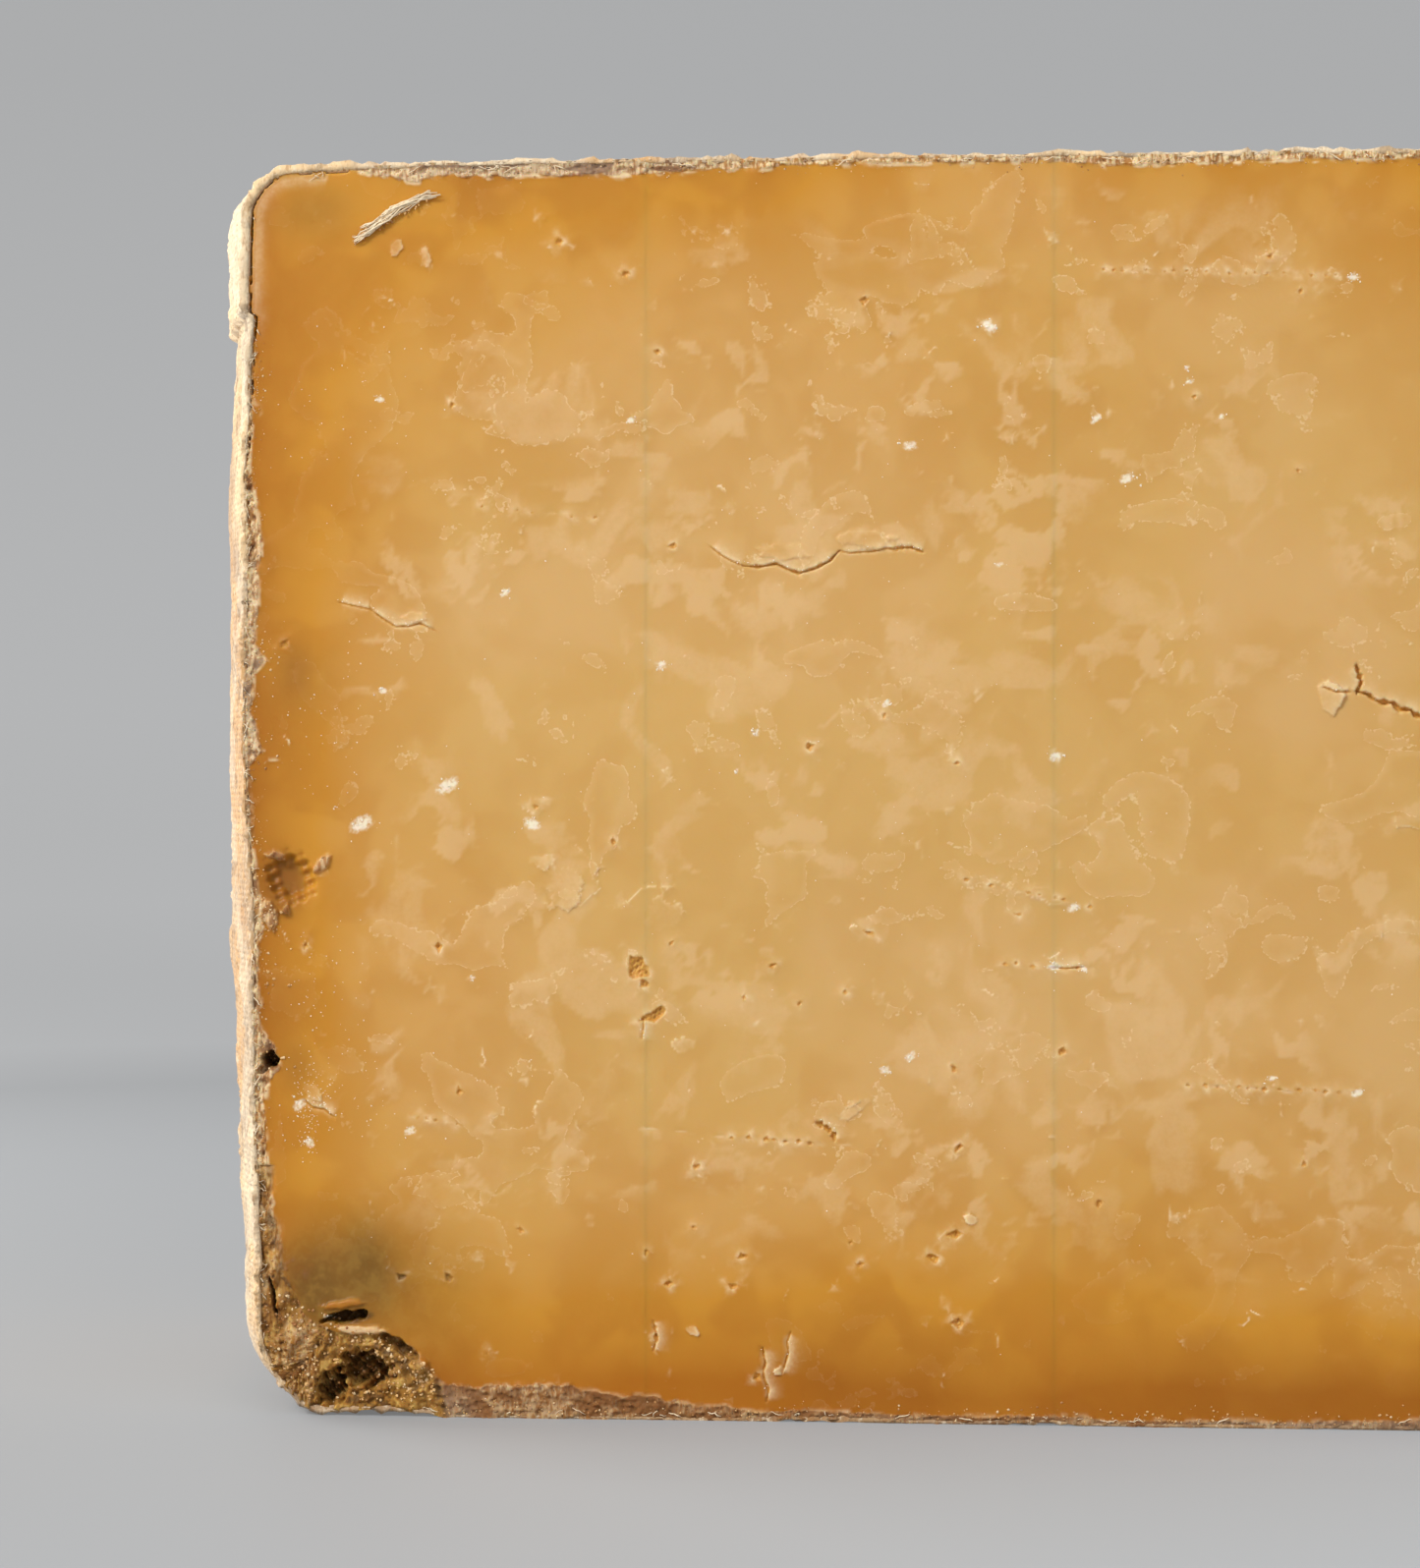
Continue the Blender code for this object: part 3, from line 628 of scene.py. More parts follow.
FLAKES = (
    # across, up, width, height, rise, turn, pale, side that stands proud
    (112.9, 74.3, 3.4, 3.0, 0.40, -10, 0.50, 20),
    (66.0, 90.6, 5.8, 2.3, 0.22, 0, 0.24, -90),
    (57.0, 89.4, 6.5, 2.0, 0.20, -8, 0.20, -90),
    (18.5, 82.9, 3.8, 1.2, 0.20, -10, 0.30, -90),
    (34.5, 55.2, 6.2, 5.4, 0.14, 10, 0.30, -40),
    (32.4, 57.4, 3.6, 2.2, 0.12, -20, 0.45, -60),
    (45.0, 52.5, 5.6, 3.8, 0.10, 25, 0.30, 60),
    (17.0, 121.2, 2.0, 1.8, 0.20, 30, 0.40, -40),
    (20.2, 120.2, 1.5, 3.0, 0.18, 10, 0.45, 10),
    (46.8, 38.6, 3.0, 2.4, 0.12, 40, 0.45, 120),
    (57.0, 5.3, 1.6, 1.6, 0.30, 10, 0.55, 200),
    (47.9, 9.3, 1.9, 0.9, 0.25, -20, 0.55, -40),
    (76.6, 20.9, 1.6, 1.2, 0.30, -30, 0.6, 200),
    (64.6, 32.2, 4.4, 2.0, 0.16, 28, 0.35, -60),
    (8.2, 33.6, 3.4, 1.5, 0.2, -35, 0.4, -60),
)
STARS = (
    # across, up, size, arms, turn, pale, pit
    (33.8, 121.4, 2.4, 4, 80, 0.65, 0.0), (36.6, 117.4, 1.9, 3, -30, 0.7, 0.0),
    (20.4, 119.6, 2.0, 4, 10, 0.5, 0.0), (75.6, 120.2, 2.8, 3, 120, 0.55, 0.0),
    (84.6, 121.4, 2.0, 4, 40, 0.45, 0.0), (50.6, 118.7, 2.6, 3, 100, 0.45, 0.0),
    (26.5, 94.6, 1.5, 3, 200, 0.5, 0.0), (31.0, 111.0, 1.4, 3, 30, 0.4, 0.0),
    (78.4, 112.4, 2.2, 3, 10, 0.8, 0.3), (107.0, 119.0, 1.6, 4, 80, 0.55, 0.0),
    (119.4, 115.6, 1.9, 3, 60, 0.5, 0.0), (97.8, 121.5, 1.4, 3, 20, 0.45, 0.0),
    (45.0, 66.4, 2.4, 4, 70, 0.7, 0.0), (31.6, 63.2, 3.0, 4, 15, 0.75, 0.4),
    (49.6, 72.6, 1.4, 4, 50, 0.6, 0.0), (75.0, 68.2, 1.8, 4, 10, 0.7, 0.0),
    (84.8, 68.4, 2.4, 4, 30, 0.65, 0.0), (88.4, 64.8, 2.8, 3, 160, 0.45, 0.0),
    (65.6, 73.8, 1.8, 3, 180, 0.55, 0.0), (41.8, 103.4, 1.4, 3, 120, 0.6, 0.0),
    (70.4, 100.2, 1.6, 3, 25, 0.55, 0.0), (92.4, 97.4, 1.6, 3, 15, 0.7, 0.0),
    (40.4, 53.4, 2.2, 3, 190, 0.6, 0.0), (67.0, 43.6, 2.4, 3, 200, 0.5, 0.0),
    (48.4, 25.9, 2.6, 3, 75, 0.65, 0.0), (55.2, 23.6, 1.8, 4, 20, 0.55, 0.0),
    (64.6, 22.4, 1.7, 3, 300, 0.65, 0.0), (62.8, 13.6, 1.9, 3, 80, 0.6, 0.0),
    (75.2, 28.2, 2.6, 3, 25, 0.6, 0.0), (73.8, 18.6, 2.8, 4, 60, 0.7, 0.0),
    (75.2, 10.6, 2.2, 4, 40, 0.7, 0.0), (45.6, 14.2, 2.0, 3, 150, 0.55, 0.0),
    (52.9, 15.2, 2.2, 4, 5, 0.6, 0.0), (44.0, 8.4, 2.0, 4, 65, 0.7, 0.0),
    (29.0, 15.8, 1.9, 3, 10, 0.7, 0.0), (25.9, 16.6, 2.4, 3, 100, 0.55, 0.0),
    (26.6, 6.6, 1.9, 3, 110, 0.7, 0.25), (33.6, 4.4, 1.3, 3, 60, 0.5, 0.0),
    (30.2, 52.2, 1.4, 3, 30, 0.45, 0.0), (21.6, 50.4, 1.7, 3, 80, 0.55, 0.0),
    (24.9, 45.3, 1.6, 3, 320, 0.6, 0.0), (20.6, 44.6, 1.6, 3, 100, 0.6, 0.0),
    (104.6, 22.6, 1.6, 4, 10, 0.5, 0.0), (89.0, 30.6, 2.0, 3, 35, 0.5, 0.0),
    (110.2, 43.6, 1.5, 3, 80, 0.5, 0.0), (81.8, 32.6, 2.0, 3, 80, 0.45, 0.0),
    (90.6, 35.2, 2.0, 3, 95, 0.6, 0.0), (102.6, 35.0, 1.6, 4, 0, 0.55, 0.0),
    (119.4, 73.4, 2.0, 3, -20, 0.5, 0.0), (121.0, 65.4, 2.0, 3, 90, 0.45, 0.0),
    (9.0, 56.6, 2.6, 3, 70, 0.5, 0.0), (11.2, 83.2, 1.6, 3, 100, 0.4, 0.0),
    (14.6, 29.2, 2.0, 3, 35, 0.5, 0.0), (19.0, 29.0, 1.5, 3, 200, 0.5, 0.0),
)
LIPS = (
    # path, rise, reach, pale, which side stands proud
    (((34.8, 60.2), (37.9, 57.3), (38.4, 54.6), (36.4, 53.0), (33.9, 52.6)), 0.14, 1.6, 0.55, -1),
    (((39.2, 52.4), (42.6, 54.9), (46.4, 55.4)), 0.12, 1.4, 0.5, -1),
    (((14.6, 48.6), (13.6, 45.9), (15.2, 43.2)), 0.08, 1.2, 0.45, 1),
    (((75.5, 56.0), (79.0, 55.6), (81.1, 54.5), (84.5, 53.1), (89.2, 53.1)), 0.10, 1.2, 0.55, 1),
    (((62.8, 31.3), (64.6, 32.6), (66.3, 33.3)), 0.18, 1.8, 0.5, 1),
    (((13.1, 99.5), (14.7, 96.9), (15.6, 95.1), (16.3, 94.6)), 0.06, 0.7, 0.4, 1),
    (((74.4, 121.3), (75.8, 120.2), (76.6, 118.8), (77.5, 117.6)), 0.14, 1.0, 0.6, -1),
    (((69.4, 67.1), (71.6, 63.2), (73.5, 58.9)), 0.05, 0.6, 0.35, 1),
    (((93.5, 70.4), (97.2, 69.7)), 0.06, 0.5, 0.45, 1),
    (((114.0, 16.3), (117.5, 17.1), (121.9, 17.4)), 0.08, 1.0, 0.4, 1),
    (((119.8, 63.4), (119.2, 62.6), (119.5, 61.1), (121.9, 60.9), (124.4, 61.2)), 0.16, 0.8, 0.45, 1),
    (((96.8, 84.4), (98.0, 81.8), (95.2, 80.6)), 0.07, 1.2, 0.35, 1),
    (((73.2, 83.0), (79.0, 82.6), (84.4, 80.0)), 0.06, 1.2, 0.35, -1),
    (((68.4, 46.8), (70.4, 43.8), (68.8, 41.2)), 0.07, 1.3, 0.4, 1),
    (((12.4, 22.6), (14.3, 22.2), (14.9, 19.6)), 0.1, 1.4, 0.4, -1),
    (((15.6, 16.7), (16.2, 14.9), (15.6, 14.2)), 0.12, 0.5, 0.7, 1),
    (((107.6, 36.5), (106.9, 34.5)), 0.1, 0.5, 0.65, 1),
)
SCRATCHES = (
    (((25.4, 21.4), (33.0, 27.4), (39.3, 32.3), (45.4, 34.8)), 0.05, 0.35),
    (((26.4, 20.8), (34.0, 27.2), (39.6, 31.6)), 0.04, 0.25),
    (((11.6, 33.6), (20.9, 31.4)), 0.04, 0.35),
    (((15.0, 37.6), (11.4, 33.3), (7.6, 30.0)), 0.03, 0.25),
    (((55.1, 65.3), (61.1, 68.1), (62.5, 68.4)), 0.05, 0.4),
    (((62.5, 68.4), (64.5, 67.1), (67.0, 64.2)), 0.06, 0.5),
    (((38.0, 30.4), (46.0, 29.8), (53.1, 29.0), (60.5, 28.6), (68.0, 28.2)), 0.07, 0.5),
    (((21.2, 94.7), (30.0, 93.9), (40.0, 92.7)), 0.04, 0.35),
    (((75.2, 27.8), (98.0, 27.0), (121.9, 26.2)), 0.03, 0.22),
    (((89.6, 118.0), (106.1, 117.5), (115.9, 117.1)), 0.05, 0.4),
    (((97.8, 34.9), (106.7, 34.5), (110.0, 34.1), (116.5, 34.2)), 0.08, 0.6),
    (((81.0, 47.2), (90.0, 46.6)), 0.04, 0.3),
    (((93.0, 59.4), (121.9, 60.3)), 0.03, 0.2),
    (((7.0, 111.0), (24.0, 110.4)), 0.02, 0.15),
    (((12.0, 104.6), (15.6, 105.3)), 0.02, 0.2),
)
BEADED = (
    (((51.9, 29.2), (60.5, 28.7)), 1.1, 0.42),
    (((90.0, 118.0), (114.0, 117.2)), 1.6, 0.26),
    (((98.5, 34.9), (116.4, 34.2)), 1.5, 0.40),
    (((26.0, 94.2), (40.0, 92.8)), 2.6, 0.24),
    (((19.3, 31.0), (24.0, 30.4)), 1.0, 0.24),
    (((80.0, 47.2), (89.2, 46.6)), 1.5, 0.32),
    (((76.0, 55.8), (88.8, 53.1)), 1.7, 0.30),
)
# White crystals that show as clusters: across, up, how wide the cluster is, how many
CLUSTERS = (
    (15.3, 105.5, 1.4, 9), (28.4, 85.4, 1.7, 12), (44.6, 77.8, 1.8, 12), (31.2, 61.4, 2.6, 15),
    (13.4, 61.4, 3.6, 16), (10.9, 63.2, 1.0, 5), (70.3, 100.2, 2.2, 9), (92.4, 96.8, 2.4, 12),
    (115.2, 117.0, 2.0, 14), (78.4, 112.4, 2.4, 12), (67.8, 73.8, 1.6, 6), (54.4, 70.8, 1.6, 6),
    (52.4, 66.8, 1.2, 4), (70.2, 37.6, 2.0, 8), (67.7, 36.2, 1.8, 8), (85.2, 68.4, 2.2, 8),
    (98.4, 107.9, 1.0, 4), (98.6, 106.6, 1.4, 6), (89.2, 102.8, 1.8, 6), (79.4, 88.0, 1.2, 4),
    (9.6, 9.9, 1.0, 5), (84.9, 46.9, 1.8, 6), (88.0, 46.7, 1.2, 5), (41.4, 103.0, 1.4, 6),
    (106.9, 35.6, 1.4, 5), (25.0, 45.4, 1.2, 4), (115.6, 34.2, 1.8, 6), (18.5, 29.6, 2.0, 6),
    (86.9, 52.9, 2.0, 6), (102.0, 103.0, 1.2, 4), (7.6, 28.4, 2.2, 9), (6.4, 32.2, 2.4, 9),
    (22.4, 65.4, 3.4, 7), (15.6, 75.2, 1.6, 6),
)


def paint_front():
    face = CutFace(7)
    face.waves()
    face.curd()
    face.tears(2, 216, 380)
    for path, rise, reach, pale, side in LIPS:
        face.lip(face.jagged(path), rise, reach, pale, side)
    for across, up, size, arms, turn, pale, pit in STARS:
        face.star(across, up, size, arms, turn, pale, pit)
    for across, up, wide, high, rise, turn, pale, lean in FLAKES:
        face.flake(across, up, wide, high, rise, turn, pale, lean)
    for across, up, wide, _ in CLUSTERS:
        turn = face.draw.uniform(-40, 40)
        face.blotch("white", across, up, 0.75 * wide, 0.45 * wide, 0.75, soft=0.9, turn=turn)
    for path, depth, pale in SCRATCHES:
        face.scratch(path, depth, pale)
    for path, gap, size in BEADED:
        face.beads(path, gap, size)
    for path, width, depth, side in CRACKS:
        face.crack(path, width, depth, side=side)
    for spot in PITS:
        face.pit(*spot)
    hidden_openings(face, 126, 212, 5)
    rind_section(face, LEFT_RIND, RIGHT_RIND, TOP_RIND, BASE_RIND)
    left_breaks(face)
    lower_corner(face)
    cloth_gap(face)
    return face


def hidden_openings(face, low, high, cracks):
    """Cracks, pits and lines for a stretch that no photograph shows, by a seeded draw."""
    draw = face.draw
    for _ in range(cracks):
        start = (draw.uniform(low + 4, high - 14), draw.uniform(12, 110))
        path = face.wander(start, draw.uniform(-0.5, 0.5), draw.uniform(5, 13), 0.45)
        wide = draw.uniform(4, 7)
        turn = draw.uniform(-15, 15)
        face.flake(start[0] + 3, start[1] + 1.2, wide, 2.2, 0.2, turn, 0.45, -90)
        face.crack(path, draw.uniform(0.3, 0.6), draw.uniform(0.8, 1.9))
    for _ in range(int((high - low) / 3.2)):
        up = 4 + 116 * draw.random() ** 1.4
        wide = draw.uniform(0.8, 2.3)
        across = draw.uniform(low, high)
        face.pit(across, up, wide, wide * draw.uniform(0.5, 0.9), wide * 0.7, draw.uniform(0, 180))
    for _ in range(int((high - low) / 14)):
        start = (draw.uniform(low, high - 24), draw.uniform(16, 120))
        end = (start[0] + draw.uniform(10, 26), start[1] + draw.uniform(-1.2, 0.6))
        face.scratch((start, end), 0.05, 0.4)
        if draw.random() < 0.5:
            face.beads((start, end), 1.5, 0.32)


def left_breaks(face):
    """The hole in the left rind, its inside painted dark as shade, and the brown pocket with grey crust
    above it, whose brown is partly painted shade.
    """
    face.dent(5.6, 55.8, 4.6, 4.0, 1.0, soft=0.9, turn=-20)
    # partly painted shade: the brown over the pocket is its own colour and also the shade inside the dent
    face.blotch("brown", 5.0, 55.4, 4.4, 5.0, 0.75, soft=0.8)
    face.blotch("mould_and_shade", 4.6, 55.0, 4.0, 5.0, 0.35, soft=0.9)
    grey_crust = (
        (3.0, 51.9, 1.9, 4.2, 8), (5.0, 52.6, 1.6, 1.6, 0), (4.0, 58.2, 3.0, 1.3, -10),
        (9.2, 57.2, 1.2, 3.0, -35),
    )
    for spot in grey_crust:
        part, outside, _, _ = face.angular(spot, 7)
        shown = smooth(outside, 0.15, -0.2)
        grain = np.clip(0.5 + 0.7 * face.cloud(0.7, 80, octaves=2)[part], 0, 1)
        face.relief[part] += shown * (0.25 + 0.3 * grain)
        face.lighten("crust", part, shown * 0.85)
        face.lighten("brown", part, shown * (0.35 + 0.4 * grain))
    face.dent(3.0, 36.9, 1.9, 1.6, 2.6, soft=0.25, rough=0.2)
    face.dent(2.2, 35.9, 1.6, 0.7, 1.6, soft=0.3, turn=30)
    # painted shade: the hole's inside is painted near black through its hollow and darkening masks
    face.blotch("hollow", 3.0, 36.9, 1.9, 1.6, 1.0, soft=0.35)
    face.blotch("mould_and_shade", 3.0, 36.9, 1.8, 1.5, 1.0, soft=0.5)
    face.blotch("brown", 6.2, 36.0, 4.0, 5.0, 0.45, soft=0.9)
    face.blotch("brown", 6.4, 77.4, 3.0, 5.0, 0.35, soft=0.9)
    face.blotch("mould_and_shade", 7.4, 76.0, 7.0, 7.0, 0.18, soft=0.9)


def lower_corner(face):
    """The mouldy lower corner: olive smears, a slot over a pale ledge, golden grains and hollows."""
    face.blotch("mould_and_shade", 10.5, 14.6, 12.0, 10.0, 0.34, soft=0.85, turn=10)
    face.blotch("mould_and_shade", 6.0, 12.0, 9.0, 9.0, 0.34, soft=0.8)
    face.blotch("mould_and_shade", 14.4, 15.0, 4.0, 9.0, 0.25, soft=0.9, turn=10)
    face.blotch("mould_and_shade", 14.0, 12.5, 21.0, 15.0, 0.50, soft=0.8, turn=-8)
    part, x, z = face.window(1.1, 0, 26, 26)
    heights = (0, 3, 5.5, 7.5, 8.2, 10.5, 12.5, 15, 18, 21)
    reach = np.interp(z, heights, (23, 21.6, 19.5, 16.4, 9.5, 7.6, 6.0, 4.4, 3.4, 2.8))
    ragged = 0.7 * face.cloud(2.2, 60, octaves=2)[part]
    rough = smooth(x + ragged, reach + 0.5, reach - 0.6)
    lumps = 0.30 * face.cloud(1.9, 61, octaves=2)[part] + 0.22 * face.cloud(0.9, 62, octaves=3)[part]
    grains_here = np.clip(face.cloud(0.5, 65, octaves=2)[part], 0, 1) * smooth(z, 9.5, 6.5) * 0.35
    face.relief[part] += rough * (lumps + grains_here - 0.25)
    face.lighten("crust", part, rough * (0.85 + 0.15 * face.cloud(1.5, 63)[part]))
    face.lighten("brown", part, rough * np.clip(0.40 + 0.5 * face.cloud(2.2, 64, octaves=3)[part], 0, 1))
    golden = rough * smooth(x + 2 * ragged, 6.0, 9.0)
    face.lighten("mould_and_shade", part, np.maximum(golden, 0.55 * rough))
    # mouldy smears and fuzz on the smooth paste above the slot
    fuzz = smooth(face.cloud(1.1, 66, octaves=3)[part], 0.15, 0.6)
    smears = ((5.6, 14.8, 5.6, 3.6, 0.9), (9.2, 16.6, 4.6, 2.0, 0.55), (4.4, 12.6, 3.4, 2.4, 0.8))
    for across, up, wide, high, amount in smears:
        spot = smooth(np.hypot((x - across) / (wide / 2), (z - up) / (high / 2)), 1.2, 0.3)
        face.lighten("brown", part, amount * spot * (0.25 + 0.75 * fuzz))
        face.relief[part] += 0.10 * spot * fuzz
        face.lighten("pale", part, 0.5 * spot * smooth(fuzz, 0.55, 0.9))
    # the slot, its inside painted dark as shade, and the lips on either side
    face.dent(11.8, 9.7, 5.0, 1.2, 2.2, soft=0.25, turn=2, rough=0.12)
    face.blotch("hollow", 11.9, 9.6, 4.8, 1.15, 1.0, soft=0.3)
    face.blotch("mould_and_shade", 11.9, 9.6, 5.0, 1.4, 0.9, soft=0.3)
    for spot, rise, name, amount in (
        ((11.6, 11.1, 5.6, 1.3, 3), 0.35, "brown", 0.35),
        ((13.4, 8.1, 6.6, 1.1, -9), 0.40, "pale", 0.6),
    ):
        piece, outside, _, _ = face.angular(spot, 7)
        shown = smooth(outside, 0.25, -0.3)
        face.relief[piece] += rise * shown
        for mask in ("crust", "hollow", "mould_and_shade"):
            face.masks[mask][piece] *= 1 - 0.85 * shown
        face.lighten(name, piece, amount * shown)
    # the hollow, with golden walls; the hollow masks here paint the insides dark, as painted shade
    face.dent(13.6, 3.9, 5.4, 3.6, 2.6, soft=0.4, turn=-14, rough=0.25)
    face.blotch("hollow", 13.6, 3.9, 4.6, 3.0, 0.75, soft=0.45, turn=-14)
    face.dent(10.0, 2.4, 3.6, 3.2, 2.2, soft=0.45, turn=20, rough=0.3)
    face.blotch("hollow", 10.0, 2.2, 3.0, 2.6, 0.8, soft=0.4)
    face.dent(17.2, 6.4, 4.2, 1.2, 1.3, soft=0.4, turn=-30, rough=0.2)
    face.blotch("hollow", 17.2, 6.4, 3.6, 0.9, 0.5, soft=0.5, turn=-30)
    face.dent(2.9, 12.0, 0.5, 4.6, 1.6, soft=0.4, turn=12)
    face.blotch("hollow", 2.9, 12.0, 0.5, 4.6, 1.0, soft=0.4, turn=12)
    lumps_left = (
        (19.4, 4.6, 3.0, 2.8, 15), (8.0, 5.4, 2.2, 1.4, 30), (11.6, 4.6, 1.2, 1.0, 0),
        (15.6, 2.2, 2.0, 1.0, 10), (14.6, 6.4, 2.4, 1.1, -10), (9.4, 7.4, 1.4, 1.0, 40),
    )
    for spot in lumps_left:
        piece, outside, u, v = face.angular(spot, 6)
        shown = smooth(outside, 0.2, -0.35)
        face.relief[piece] += (0.55 + 0.2 * np.sin(u * 4) * np.sin(v * 5)) * shown
        face.masks["hollow"][piece] *= 1 - shown
        face.masks["brown"][piece] *= 1 - 0.8 * shown


def cloth_gap(face):
    """The line where the cap cloth has come away from the paste, along the upper left corner: sunk, darkened
    with painted shade, and a pale strip of painted light beside it.
    """
    edge = np.minimum(face.left, face.top)
    dashes = face.cloud(0.9, 70, octaves=2)
    left_part = smooth(face.z, 111.0, 112.0) * (face.x < 12)
    top_part = smooth(face.x, 12.5, 11.5) * (face.z > 120)
    below = smooth(face.z, 92, 94) * smooth(face.z, 112, 110) * smooth(dashes, 0.1, 0.35) * (face.x < 12)
    shown = np.maximum(np.maximum(left_part, top_part), 0.7 * below)
    shown = shown * smooth(dashes, -0.55, -0.1)
    middle = 0.42 + 0.1 * face.cloud(2.0, 71)
    line = shown * smooth(np.abs(edge - middle), 0.2, 0.06)
    face.relief -= 0.9 * line
    # painted shade: the gap's line is painted dark through the hollow and darkening masks
    face.masks["hollow"] = np.maximum(face.masks["hollow"], line)
    face.masks["mould_and_shade"] = np.maximum(face.masks["mould_and_shade"], 0.3 * line)
    # painted light: a pale strip along the upper left edge, where light shines through the thin paste
    glow = np.exp(-np.abs(edge - 1.2) / 0.9) * smooth(face.z, 108, 118) * (face.x < 10)
    face.masks["pale"] = np.maximum(face.masks["pale"], 0.5 * glow * (1 - line))
    face.blotch("mould_and_shade", 8.4, 125.6, 8.0, 5.0, 0.30, soft=0.9)


def paint_back():
    face = CutFace(19)
    face.waves()
    face.curd()
    face.tears(3, 214, 300)
    hidden_openings(face, 8, 208, 9)
    rind_section(face, RIGHT_RIND, RIGHT_RIND, TOP_RIND[5:], BASE_RIND)
    return face


# Meshes

def leaf_cells(face, weights, tolerance):
    """The lattice's cells, each split while the painting changes too much inside it."""
    def spread(array, size):
        rows = (array.shape[0] - 1) // size
        cols = (array.shape[1] - 1) // size
        block = array[:rows * size, :cols * size].reshape(rows, size, cols, size)
        high = block.max(axis=(1, 3))
        low = block.min(axis=(1, 3))
        edge_r = array[size::size, :cols * size].reshape(rows, cols, size)
        edge_c = array[:rows * size, size::size].reshape(rows, size, cols).transpose(0, 2, 1)
        high = np.maximum(high, np.maximum(edge_r.max(2), edge_c.max(2)))
        low = np.minimum(low, np.minimum(edge_r.min(2), edge_c.min(2)))
        return high - low

    content = [(face.relief, 1.0)] + [(face.masks[name], weight) for name, weight in weights.items()]
    leaves = []
    alive = np.ones((COARSE_HIGH, COARSE_LONG), bool)
    for level in range(LEVELS):
        size = FINE >> level
        change = np.zeros(alive.shape)
        for array, weight in content:
            change = np.maximum(change, spread(array, size) * weight)
        split = alive & (change > tolerance[level])
        leaves.append((alive & ~split, size))
        alive = split.repeat(2, axis=0).repeat(2, axis=1)
    leaves.append((alive, 1))
    return leaves


def face_places(side):
    """Where the plain cut face lies, for every 8th column and 2nd row of its lattice."""
    columns = np.arange(0, COARSE_LONG * FINE + 1, FINE)
    rows = np.arange(0, COARSE_HIGH * FINE + 1, 2)
    places = np.zeros((len(rows), len(columns), 3))
    for c, column in enumerate(columns):
        x = -side * (column / (COARSE_LONG * FINE) * 2 * HALF_CHORD - HALF_CHORD)
        for r, row in enumerate(rows):
            places[r, c] = shaped((x, side * HALF_DEPTH, row / (COARSE_HIGH * FINE) * HEIGHT))
    return places


def face_mesh(name, face, side, columns, leaves, places):
    """A mesh over the coarse columns given, fine where the painting needs it."""
    used = np.zeros(face.relief.shape, bool)
    own = np.zeros(face.relief.shape, bool)
    boxes = []
    for shown, size in leaves:
        rows, cols = np.nonzero(shown)
        keep = (cols * size >= columns[0] * FINE) & (cols * size < columns[1] * FINE)
        for step_r, step_c in ((0, 0), (0, size), (size, 0), (size, size)):
            used[rows * size + step_r, cols * size + step_c] = True
        boxes.append((rows[keep] * size, cols[keep] * size, size))
    own[:, columns[0] * FINE:columns[1] * FINE + 1] = True
    spot_r, spot_c = np.nonzero(used & own)
    number = np.full(used.shape, -1, int)
    number[spot_r, spot_c] = np.arange(len(spot_r))
    polygons = []
    for rows, cols, size in boxes:
        for r, c in zip(rows.tolist(), cols.tolist()):
            ring = [number[r, c]]
            if size > 1:
                ring.extend(n for n in number[r, c + 1:c + size] if n >= 0)
            ring.append(number[r, c + size])
            if size > 1:
                ring.extend(n for n in number[r + 1:r + size, c + size] if n >= 0)
            ring.append(number[r + size, c + size])
            if size > 1:
                ring.extend(n for n in number[r + size, c + size - 1:c:-1] if n >= 0)
            ring.append(number[r + size, c])
            if size > 1:
                ring.extend(n for n in number[r + size - 1:r:-1, c] if n >= 0)
            polygons.append(ring if side < 0 else ring[::-1])
    low_r = np.minimum(spot_r // 2, places.shape[0] - 2)
    low_c = np.minimum(spot_c // FINE, places.shape[1] - 2)
    part_r = (spot_r / 2 - low_r)[:, None]
    part_c = (spot_c / FINE - low_c)[:, None]
    below = places[low_r, low_c] * (1 - part_c) + places[low_r, low_c + 1] * part_c
    above = places[low_r + 1, low_c] * (1 - part_c) + places[low_r + 1, low_c + 1] * part_c
    points = below * (1 - part_r) + above * part_r
    points[:, 1] += side * face.relief[spot_r, spot_c] * MM
    mesh = bpy.data.meshes.new(name)
    mesh.from_pydata(points.tolist(), [], polygons)
    for mask in CutFace.MASKS:
        layer = mesh.attributes.new(mask, "FLOAT", "POINT")
        layer.data.foreach_set("value", face.masks[mask][spot_r, spot_c].astype(np.float32))
    mesh.shade_smooth()
    thing = bpy.data.objects.new(name, mesh)
    bpy.context.scene.collection.objects.link(thing)
    triangles = sum(len(ring) - 2 for ring in polygons)
    print(name, "vertices", len(points), "triangles", triangles)
    return thing


def way_out(x, z):
    """The way out of the block's section at a point of the box's outline."""
    at_top = z > MIDDLE
    radius = TOP_CORNER if at_top else BASE_CORNER
    past_x = abs(x) - (HALF_CHORD - radius)
    past_z = (z - (HEIGHT - radius)) if at_top else (radius - z)
    if past_x > 0 and past_z > 0:
        far = math.hypot(past_x, past_z)
        return math.copysign(past_x, x) / far, (past_z if at_top else -past_z) / far
    if past_x > past_z:
        return math.copysign(1.0, x), 0.0
    return 0.0, (1.0 if at_top else -1.0)


def spaced(low, high, step):
    return np.linspace(low, high, max(int(round((high - low) / step)), 1) + 1)


